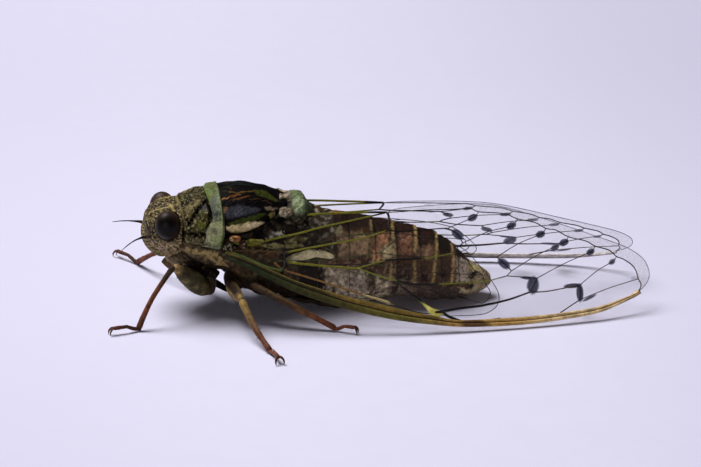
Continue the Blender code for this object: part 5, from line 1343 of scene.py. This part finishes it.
def build_leg(name, joints):
    kind = name.split("_")[0]
    hip, turn, knee, heel = (np.array(j, float) for j in joints[:4])
    claw = np.array((*joints[4], 0.05))
    femur, shin_radius = FEMUR_RADIUS[kind], TIBIA_RADIUS[kind]
    parts = [("coxa", [limb(hip, turn, COXA_PROFILE[kind], 0.5, 0.15)]),
             ("femur", [limb(turn, knee, ((0, 0.15), (0.05, 0.36), (0.18, 0.8 * femur), (0.4, femur),
                                          (0.7, 0.8 * femur),
                                          (0.88, 0.48 * femur), (0.97, 0.42), (1, 0.12)), 0.05, 0.12)]),
             ("tibia", [limb(knee, heel, ((0, 0.12), (0.03, 0.36), (0.08, shin_radius + 0.04),
                                          (0.16, shin_radius), (0.5, shin_radius - 0.02),
                                          (0.8, 0.33), (0.93, 0.35), (0.98, 0.33), (1, 0.12)), 0.12, 0.12,
                                          BOW[kind])])]
    shin = (heel - knee) / np.linalg.norm(heel - knee)
    aside = np.cross(shin, (0, 0, 1.0))
    aside /= np.linalg.norm(aside)
    spurs = []
    for share, turn_ in ((0.35, 1), (0.55, -1), (0.72, 1), (0.97, 1), (0.97, -1), (0.96, 0.3)):
        out = aside * turn_ * 0.8 + shin * 0.9
        bow = (BOW[kind] * math.sin(math.pi * share), 0, 0)
        root = knee + (heel - knee) * share + aside * turn_ * 0.22 - bow
        spurs.append(spine(root, out, 0.55 if kind != "fore" else 0.32, 0.075))
    if kind == "fore":
        bone = (knee - turn) / np.linalg.norm(knee - turn)
        under = np.cross(bone, np.cross(bone, (0, 0, 1.0)))
        under /= np.linalg.norm(under)
        for share, length in ((0.42, 1.0), (0.66, 0.8), (0.8, 0.4)):
            spurs.append(spine(turn + (knee - turn) * share + under * 0.55 * femur, under + bone * 0.35,
                               length * 0.6, 0.17))
    foot_way = (claw - heel) * np.array([1, 1, 0])
    length = np.linalg.norm(foot_way)
    foot_way /= length
    across = np.array([-foot_way[1], foot_way[0], 0])
    start = np.array([heel[0], heel[1], 0.17])
    foot = []
    for (s0, z0, r0), (s1, z1, r1) in zip(((-0.06, 0.06, 0.2), (0.16, 0.2, 0.22), (0.42, 0.62, 0.2)),
                                          ((0.20, 0.24, 0.23), (0.46, 0.68, 0.2), (0.86, 0.62, 0.24))):
        a, b = start + foot_way * length * s0 + (0, 0, z0), start + foot_way * length * s1 + (0, 0, z1)
        foot.append(limb(a, b, ((0, 0.1), (0.08, r0), (0.8, r1), (0.96, r1 * 0.85), (1, 0.1))))
    spread = 0.5 if kind == "mid" else 0.3
    for side in (-1, 1):
        root = start + foot_way * length * 0.78 + (0, 0, 0.64)
        foot.append(smooth_path([(*root, 0.18),
                                 (*(root + foot_way * length * 0.13 + across * 0.6 * spread * side), 0.14),
                                 (*(start + foot_way * length * 0.99 + across * spread * side
                                    + (0, 0, 0.28)), 0.1),
                                 (*(claw + across * 0.9 * spread * side), 0.035)], 0.08))
    parts.append(("foot", foot))
    parts.append(("spurs", spurs))
    pieces = []
    for part, lines in parts:
        piece = tube_piece(f"{part}_{name}", lines, 5 if part not in ("spurs",) else 2)
        p = read(piece)
        if part == "femur":
            bone = (knee - turn) / np.linalg.norm(knee - turn)
            wide = np.cross(bone, (0, 0, 1.0))
            wide /= np.linalg.norm(wide)
            p -= ((p - turn) @ wide)[:, None] * wide * 0.25
        if part in ("foot", "spurs"):
            p[:, 2] = np.maximum(p[:, 2], 0.0)
        write(piece, p + 0.012 * ripple(p, 0.5, 91)[:, None] * np.array([0, 0, 1.0]) * (p[:, 2:] > 0.3))
        a, b = {"coxa": (hip, turn), "femur": (turn, knee), "tibia": (knee, heel)}.get(part, (start, claw))
        share = np.clip((p - a) @ (b - a) / ((b - a) @ (b - a)), 0, 1)
        table = leg_colours(kind)[min(("coxa", "femur", "tibia", "foot", "spurs").index(part), 3)]
        paint = Paint(piece, p[:, [0, 2]], BLACK)
        paint.colour = stops(share, table)
        paint.mottle(0.5, 93, DARK_BROWN, 0.3, 0.5)
        if part == "femur" and kind != "fore":
            along_bone = turn + (knee - turn) * share[:, None]
            outer = np.array((-0.14, 0.93 * np.sign(turn[1]), 0.34))
            over = np.cross(knee - turn, outer)
            over *= -np.sign(over[0]) / np.linalg.norm(over)
            if kind == "mid":
                paint.coat(0.95 * smooth((1.1 - share) / 0.2), (0.27, 0.18, 0.065))
            middle, half, last = {"mid": (0.06, 0.52, 0.90), "hind": (0.22, 0.46, 0.78)}[kind]
            groove = smooth(((p - along_bone) @ outer - 0.02) / 0.15)
            groove *= smooth((half - np.abs((p - along_bone) @ over + middle)) / 0.14)
            paint.coat(0.97 * groove * smooth((share - 0.1) / 0.08) * smooth((last - share) / 0.15),
                       (0.016, 0.009, 0.006))
        if part == "tibia" and kind != "fore":
            outer = np.array((-0.14, 0.93 * np.sign(turn[1]), 0.34))
            over = np.cross(heel - knee, outer) / np.linalg.norm(np.cross(heel - knee, outer))
            off = (p - knee - (heel - knee) * share[:, None]
                   + np.outer(np.sin(math.pi * share), (BOW[kind], 0, 0))) @ over
            if kind == "mid":
                dark = 0.7 * smooth((0.13 - np.abs(off)) / 0.08) * smooth((share - 0.25) / 0.1)
                dark *= smooth((0.97 - share) / 0.1)
            else:
                # Painted shade: the hind tibia is darker along its lower side near the knee.
                dark = 0.85 * smooth((0.1 - off * np.sign(over[2])) / 0.12) * smooth((0.62 - share) / 0.2)
            paint.coat(dark, (0.035, 0.018, 0.008))
        if part == "femur" and kind == "fore":
            paint.coat(0.6 * smooth(ripple(p, 1.0, 95)) * (share < 0.8), (0.15, 0.12, 0.045))
        paint.save()
        pieces.append(piece)
    leg = joined(f"leg_{name}", pieces)
    set_piece(leg, SHELL_LEG, "leg", *(f"{part}_{name}" for part in ("coxa", "femur", "tibia", "tarsus")))


# Wings

def wing_axes():
    base, tip, clavus = (np.array(p) for p in (WING_BASE, WING_TIP, WING_CLAVUS))
    along = (tip - base) / np.linalg.norm(tip - base)
    outward = np.cross(along, clavus - base)
    outward /= np.linalg.norm(outward)
    outward = outward if outward[2] > 0 else -outward
    return base, along, np.cross(outward, along), outward


def wing_points(u, v, under, side):
    """Points of a wing's chart: u along the wing, v across it, under along its normal."""
    base, along, across, outward = wing_axes()
    u, v, under = (np.asarray(a, float) for a in (u, v, under))
    bulge = 0.8 * np.sin(math.pi * np.clip(u / WING_LENGTH, 0, 1)) * (1 - ((v + 2) / 10) ** 2)
    bulge = bulge + 0.45 * np.maximum(0, 1 - ((u - 30) / 11) ** 2) * np.maximum(0, v - 5) / 3
    p = base + along * u[:, None] + across * v[:, None] + outward * (bulge + under)[:, None]
    p[:, 1] *= -side
    return p


def chart_back(p, side):
    """(u, v) of points near a wing."""
    base, along, across, _ = wing_axes()
    q = p * np.array([1, -side, 1]) - base
    return np.stack([q @ along, q @ across], axis=1)


def chart_path(path, step=0.3):
    return smooth_path([JOINTS[stop] if isinstance(stop, str) else stop for stop in path], step)


def membrane(name, outline, holes, under, side):
    """A thin sheet inside the outline, finer round the places in holes."""
    ring = outline[:-1] if np.allclose(outline[0], outline[-1]) else outline
    step = 0.45 / DETAIL
    u, v = np.meshgrid(np.arange(ring[:, 0].min(), ring[:, 0].max(), step),
                       np.arange(ring[:, 1].min(), ring[:, 1].max(), step))
    inner = np.stack([u.ravel(), v.ravel()], axis=1)
    inner = inner + np.random.default_rng(7).uniform(-0.05, 0.05, (u.size, 2))
    close = []
    for hole in holes:
        s = np.arange(-1.3, 1.31, 0.1 / DETAIL)
        du, dv = np.meshgrid(s, s)
        near = (np.hypot(du, dv) < 1.3).ravel()
        close.append(np.stack([hole[0] + du.ravel(), hole[1] + dv.ravel()], axis=1)[near])
    inner = np.vstack([inner, *close])
    far, _ = path_distance(inner, np.vstack([ring, ring[:1]]))
    inner = inner[(patch_mask(inner, ring, 0.001) > 0.5) & (far > 0.1)]
    points = [Vector(p) for p in np.vstack([ring, inner])]
    flat, _, faces, _, _, _ = delaunay_2d_cdt(points, [], [list(range(len(ring)))], 1, 1e-5)
    bpy.ops.mesh.primitive_plane_add(size=1)
    piece = named(name)
    piece.data.clear_geometry()
    at = np.array([tuple(p) for p in flat])
    place = wing_points(at[:, 0], at[:, 1], under + 0.02 * ripple(at, 2.0, 101), side)
    piece.data.from_pydata([Vector(p) for p in (place + SHIFT) * MM], [], faces)
    return thickened(piece, (0, 0, 1), MEMBRANE_THICK, 0.0)


def fore_outline():
    parts = [chart_path(OUTER_EDGE), chart_path(HIND_EDGE)[::-1], chart_path(CLAVAL_EDGE)[::-1],
             chart_path(["root_high", "root_mid", "root_low"])]
    return np.vstack([part[:-1] for part in parts])


def build_forewing(mark, side):
    outline = fore_outline()
    piece = membrane(f"forewing_membrane_{mark}", outline, SPOTS, 0.0, side)
    at = chart_back(read(piece), side)
    spot = np.max([s[5] * blob_mask(at, s[:2], (s[2] * 1.06, s[3] * 1.1), s[4], 1.0) for s in SPOTS], axis=0)
    attribute(piece, "spot", spot)
    inner = np.vstack([chart_path(AMBIENT), chart_path(OUTER_EDGE)[::-1], chart_path(CLAVAL_EDGE)])
    attribute(piece, "border", (1 - patch_mask(at, inner, 0.15)) * smooth((at[:, 0] - 19.5) / 1.0))
    set_piece(piece, MEMBRANE, "wing", f"forewing_{mark}")

    lines = []
    for start, end, path in VEINS:
        way = chart_path(path, 0.25 / DETAIL)
        radii = np.linspace(start, end, len(way))
        dark = np.max([s[5] * blob_mask(way, s[:2], (s[2], s[3]), s[4], 1.0) for s in SPOTS[:12]], axis=0)
        bold = np.max([line_mask(way, stretch, 0.15, 0.2) for stretch in BLACK_STRETCHES[2:5]], axis=0)
        radii = radii * (1 + 0.25 * dark + 0.6 * bold)
        lines.append(np.column_stack([wing_points(way[:, 0], way[:, 1], 0.03 + radii * 0.3, side), radii]))
    piece = tube_piece(f"forewing_veins_{mark}", lines, 2)
    at = chart_back(read(piece), side)
    paint = Paint(piece, at, VEIN_GREEN)
    paint.coat(smooth((at[:, 0] - 19.3) / 1.2), (0.016, 0.010, 0.008))
    paint.coat(0.8 * smooth((at[:, 0] - 31) / 6) * smooth((2.5 - at[:, 1]) / 2.5), (0.065, 0.032, 0.014))
    for path in GREEN_STRETCHES:
        paint.line(path, 0.35, (0.15, 0.16, 0.018), 0.4)
    for path in BLACK_STRETCHES:
        paint.line(path, 0.4, BLACK, 0.5)
    paint.line([(0, 1.3), (4.2, 3.8), (8.6, 5.2)], 0.3, DARK_BROWN, 0.4, 0.8)
    paint.line([(0, 0.1), (3.2, 0.3), (6.1, 0.1)], 0.25, (0.07, 0.04, 0.012), 0.3)
    paint.line([(1.0, -0.3), (2.2, -0.75), (4.4, -1.75), (6.0, -2.2)], 0.3, (0.07, 0.10, 0.02), 0.3)
    paint.coat(0.75 * blob_mask(at, (42, -1.5), (7.5, 3.0), -5, 0.8), (0.075, 0.042, 0.020))
    for s in SPOTS[:12]:
        paint.blob(s[:2], (s[2] * 1.2, s[3] * 1.5), (0.012, 0.012, 0.02), s[4], 0.6, s[5])
    paint.line(HIND_EDGE_PATH, 0.12, (0.10, 0.10, 0.12), 0.1, 0.8)
    paint.save()
    set_piece(piece, VEIN, "wing", f"forewing_{mark}")

    rows = smooth_path(STRIP, 0.3)

    def strip(across, along):
        k = along * (len(rows) - 1)
        u, outer, line, inner = (np.interp(k, np.arange(len(rows)), rows[:, c]) for c in range(4))
        taper = 1 - 0.6 * smooth((u - 46.0) / 3.2)
        outer, inner = line + (outer - line) * taper, line + (inner - line) * taper
        v = np.where(across < 0.5, outer + (line - outer) * across * 2,
                     line + (inner - line) * (across * 2 - 1))
        hump = np.where(across < 0.5, np.sin(np.clip(across * 2, 0, 1) * math.pi),
                        np.sin((across * 2 - 1) * math.pi))
        fade = np.clip((1 - along) / 0.14, 0.2, 1) * np.clip(along / 0.02, 0.3, 1)
        size = np.where(across < 0.5, 0.25, 0.2)
        return wing_points(u, v, 0.06 + size * np.sqrt(np.clip(hump, 0, 1)) * fade, side)
    piece = sheet_piece(f"forewing_costa_{mark}", 28, 420, strip, 0.3)
    at = chart_back(read(piece), side)
    u = at[:, 0]
    line = np.interp(u, rows[:, 0], rows[:, 2])
    outer, inner = np.interp(u, rows[:, 0], rows[:, 1]), np.interp(u, rows[:, 0], rows[:, 3])
    paint = Paint(piece, at, (0.014, 0.020, 0.006))
    far = smooth((u - 22) / 5)
    paint.coat(smooth((u - 2) / 12), (0.045, 0.040, 0.010))
    paint.coat(smooth((u - 12) / 8), (0.125, 0.105, 0.022))
    paint.coat(far, (0.45, 0.27, 0.08) if side < 0 else (0.80, 0.72, 0.60))
    paint.coat(smooth((u - 33) / 7), (0.68, 0.50, 0.25) if side < 0 else (0.86, 0.80, 0.74))
    upper = smooth((at[:, 1] - line) / 0.08) * (1 - far)
    share = (at[:, 1] - line) / (inner - line)
    paint.coat(upper, (0.030, 0.030, 0.008))
    paint.coat(upper * smooth((u - 9) / 6), (0.16, 0.10, 0.022))
    paint.coat(0.8 * upper * smooth((share - 0.5) / 0.2), (0.14, 0.085, 0.022))
    paint.coat(0.7 * upper * smooth((share - 0.75) / 0.15), (0.10, 0.12, 0.02))
    paint.coat(0.7 * smooth(1 - np.abs(at[:, 1] - line) / 0.12), (0.05, 0.022, 0.008))
    paint.coat(smooth(1 - np.abs(at[:, 1] - line) / 0.13) * smooth((30 - u) / 6), (0.004, 0.003, 0.002))
    paint.coat(0.85 * blob_mask(at, (28.6, -7.8), (1.7, 0.6), 0, 0.8), (0.05, 0.022, 0.010))
    paint.mottle(1.5, 141, (0.03, 0.02, 0.008), 0.25, 0.3)
    paint.save()
    set_piece(piece, COSTA, "wing", f"forewing_{mark}")

    def knot(across, along):
        a = across * 2 - 1
        path = smooth_path([(22.0, -5.1, 0.06), (22.9, -5.75, 0.2), (23.7, -6.5, 0.5), (24.4, -6.75, 0.5),
                            (25.2, -6.5, 0.22)], 0.1)
        k = along * (len(path) - 1)
        u, v, half = (np.interp(k, np.arange(len(path)), path[:, c]) for c in range(3))
        return wing_points(u, v + a * half,
                           0.08 + 0.2 * np.sqrt(np.clip(1 - a * a, 0, 1)) * np.sin(along * math.pi), side)
    piece = sheet_piece(f"forewing_node_{mark}", 20, 50, knot, 0.15)
    at = chart_back(read(piece), side)
    Paint(piece, at, (0.52, 0.46, 0.09)).blob((22.3, -5.4), (0.7, 0.3), (0.12, 0.13, 0.02), -40, 0.8).mottle(
        0.5, 143, (0.5, 0.5, 0.2), 0.3, 0.5).save()
    set_piece(piece, COSTA, "wing", f"forewing_{mark}")


def build_hindwing(mark, side):
    outline = smooth_path([*HIND_OUTLINE, HIND_OUTLINE[0]], 0.3)[:-1]
    piece = membrane(f"hindwing_membrane_{mark}", outline, [], HINDWING_UNDER, side)
    at = chart_back(read(piece), side)
    attribute(piece, "spot", np.zeros(len(at)))
    attribute(piece, "border", 0.5 * smooth((at[:, 0] - 31) / 1.0))
    set_piece(piece, MEMBRANE, "wing", f"hindwing_{mark}")
    lines = []
    for start, end, path in HIND_VEINS:
        way = smooth_path(path, 0.25 / DETAIL)
        radii = np.linspace(start, end, len(way))
        run = wing_points(way[:, 0], way[:, 1], HINDWING_UNDER + 0.02 + 0 * radii, side)
        lines.append(np.column_stack([run, radii]))
    piece = tube_piece(f"hindwing_veins_{mark}", lines, 2)
    at = chart_back(read(piece), side)
    paint = Paint(piece, at, (0.05, 0.07, 0.022))
    paint.coat(smooth((at[:, 0] - 18.5) / 1.0), (0.018, 0.012, 0.010))
    paint.line([(5.6, -0.6), (8.6, -2.1), (13.0, -3.4), (16.5, -4.4)], 0.4, (0.28, 0.14, 0.04), 0.3)
    paint.line([(16.3, -4.4), (19.0, -5.2)], 0.4, (0.55, 0.44, 0.20), 0.3)
    paint.line([(8.6, -0.9), (13.9, -0.5), (17.1, -0.2)], 0.2, BLACK, 0.2)
    paint.line([(6.3, 1.9), (9.1, 2.4), (14.0, 3.1)], 0.3, (0.08, 0.04, 0.02), 0.2)
    paint.save()
    set_piece(piece, VEIN, "wing", f"hindwing_{mark}")


def build_wing_roots():
    """Small knobs and pads where the wings leave the thorax."""
    for mark, side in (("left", -1), ("right", 1)):
        pads = []
        for k, (x, angle, out, radii, colour) in enumerate((
                (-14.3, 82, 0.15, (0.65, 0.45, 0.42), (0.20, 0.075, 0.028)),
                (-13.4, 88, 0.2, (0.5, 0.4, 0.45), (0.06, 0.03, 0.018)),
                (-15.0, 93, 0.3, (0.7, 0.6, 0.8), (0.012, 0.009, 0.007)),
                (-12.2, 84, 0.25, (1.3, 0.3, 0.28), (0.13, 0.12, 0.02)),
                (-9.9, 87, 0.15, (1.3, 0.3, 0.35), (0.22, 0.20, 0.07)),
                (-11.0, 96, 0.15, (1.0, 0.35, 0.45), (0.08, 0.035, 0.016)),
                (-7.6, 84, 0.1, (1.6, 0.28, 0.26), (0.20, 0.17, 0.07)))):
            centre = body_point(THORAX, np.array([x]), np.radians(np.array([angle * side])), out)[0]
            pad = bead(f"root_pad_{k}_{mark}", centre, radii, 40, 28)
            p = read(pad)
            write(pad, p + (p - centre) * (0.1 * ripple(p, 0.8, 111 + k))[:, None])
            Paint(pad, p[:, :2], colour).mottle(0.5, 120 + k, BLACK, 0.3, 0.7).mottle(
                0.4, 130 + k, (0.4, 0.36, 0.2), 0.2, 0.4).save()
            pads.append(pad)
        piece = joined(f"wing_root_pads_{mark}", pads)
        set_piece(piece, SHELL_DULL, "thorax")


# Studio: each lamp's place, size and power, in metres and watts, then the camera's height, turn and
# roll in degrees, its lens in millimetres and its distance in metres

LAMPS = (("soft_top", (-0.24, 0.20, 0.57), 0.36, 6.0), ("window", (-0.30, -0.57, 0.05), 0.4, 1.5))
CAMERA_ANGLES, CAMERA_LENS, CAMERA_FAR = (20, -8.5, -1.5), 195.74, 0.45


def build_studio():
    bpy.ops.mesh.primitive_plane_add(size=3.0, location=(0, 0, 0))
    floor = named("floor")
    floor.data.materials.append(floor_finish())
    world = bpy.data.worlds.new("room")
    bpy.context.scene.world = world
    world.use_nodes = True
    sky = world.node_tree
    sky.nodes["Background"].inputs["Color"].default_value = (0.80, 0.80, 0.97, 1)
    place = sky.nodes.new("ShaderNodeTexCoord")
    parts = sky.nodes.new("ShaderNodeSeparateXYZ")
    rise = sky.nodes.new("ShaderNodeMapRange")
    for key, value in (("From Min", 0.25), ("From Max", 1.0), ("To Min", 0.0), ("To Max", 0.09)):
        rise.inputs[key].default_value = value
    sky.links.new(place.outputs["Generated"], parts.inputs[0])
    sky.links.new(parts.outputs["Z"], rise.inputs["Value"])
    sky.links.new(rise.outputs[0], sky.nodes["Background"].inputs["Strength"])
    for name, place, size, power in LAMPS:
        light = bpy.data.objects.new(name, bpy.data.lights.new(name, "AREA"))
        bpy.context.scene.collection.objects.link(light)
        light.data.size = size
        light.data.energy = power
        light.data.color = (1.0, 0.98, 1.0)
        light.location = place
        light.rotation_euler = (Vector((0, 0, 0.008)) - Vector(place)).to_track_quat("-Z", "Y").to_euler()
    scene = bpy.context.scene
    scene.cycles.transparent_max_bounces = 32
    scene.view_settings.view_transform = "Standard"


def build_camera():
    rise, turn, roll = (math.radians(angle) for angle in CAMERA_ANGLES)
    back = Vector((math.sin(turn) * math.cos(rise), -math.cos(turn) * math.cos(rise), math.sin(rise)))
    right = Vector((math.cos(turn), math.sin(turn), 0))
    up = back.cross(right)
    across = right * math.cos(roll) - up * math.sin(roll)
    above = right * math.sin(roll) + up * math.cos(roll)
    camera = bpy.data.objects.new("camera", bpy.data.cameras.new("camera"))
    bpy.context.scene.collection.objects.link(camera)
    camera.data.lens = CAMERA_LENS
    camera.data.sensor_width = 36
    camera.data.clip_start = 0.01
    place = Vector((SHIFT[0] * MM, SHIFT[1] * MM, 0.0082)) + back * CAMERA_FAR
    camera.matrix_world = Matrix.Translation(place) @ Matrix((across, above, back)).transposed().to_4x4()
    bpy.context.scene.camera = camera


HIND_EDGE_PATH = chart_path(HIND_EDGE)
SHELL_DULL = painted_shell("downy_shell", 0.6, 0.3, 0.05, (0.36, 0.30, 0.18), 0.02, 0.0, 0.03)
SHELL_HEAD = painted_shell("head_shell", 0.55, 0.32, 0.12, (0.40, 0.29, 0.12), 0.025, 0.0, 0.1)
SHELL_GREEN = painted_shell("green_shell", 0.5, 0.2, 0.05, (0.42, 0.42, 0.28), 0.015, 0.0, 0.14)
SHELL_GLOSSY = painted_shell("dark_gloss_shell", 0.48, 0.3, 0.0, (0.22, 0.16, 0.08), 0.012, 0.0, 0.02)
SHELL_ABDOMEN = painted_shell("abdomen_shell", 0.6, 0.3, 0.05, (0.42, 0.32, 0.2), 0.025, 0.0, 0.03)
SHELL_LEG = painted_shell("leg_shell", 0.5, 0.35, 0.1, (0.34, 0.2, 0.08), 0.02, 0.0, 0.12)
COSTA = painted_shell("costa_shell", 0.45, 0.3, 0.0, GOLD, 0.02, 0.0, 0.1)
EYE = eye_finish()
VEIN = vein_finish()
MEMBRANE = membrane_finish()

build_thorax()
build_pronotum()
build_collar()
build_mesonotum()
build_cruciform()
build_folds()
build_abdomen()
build_plates()
build_head()
build_clypeus()
build_underside()
build_feelers()
for leg, joints in LEGS.items():
    build_leg(leg, joints)
for mark, side in (("left", -1), ("right", 1)):
    build_forewing(mark, side)
    build_hindwing(mark, side)
build_wing_roots()
build_studio()
build_camera()
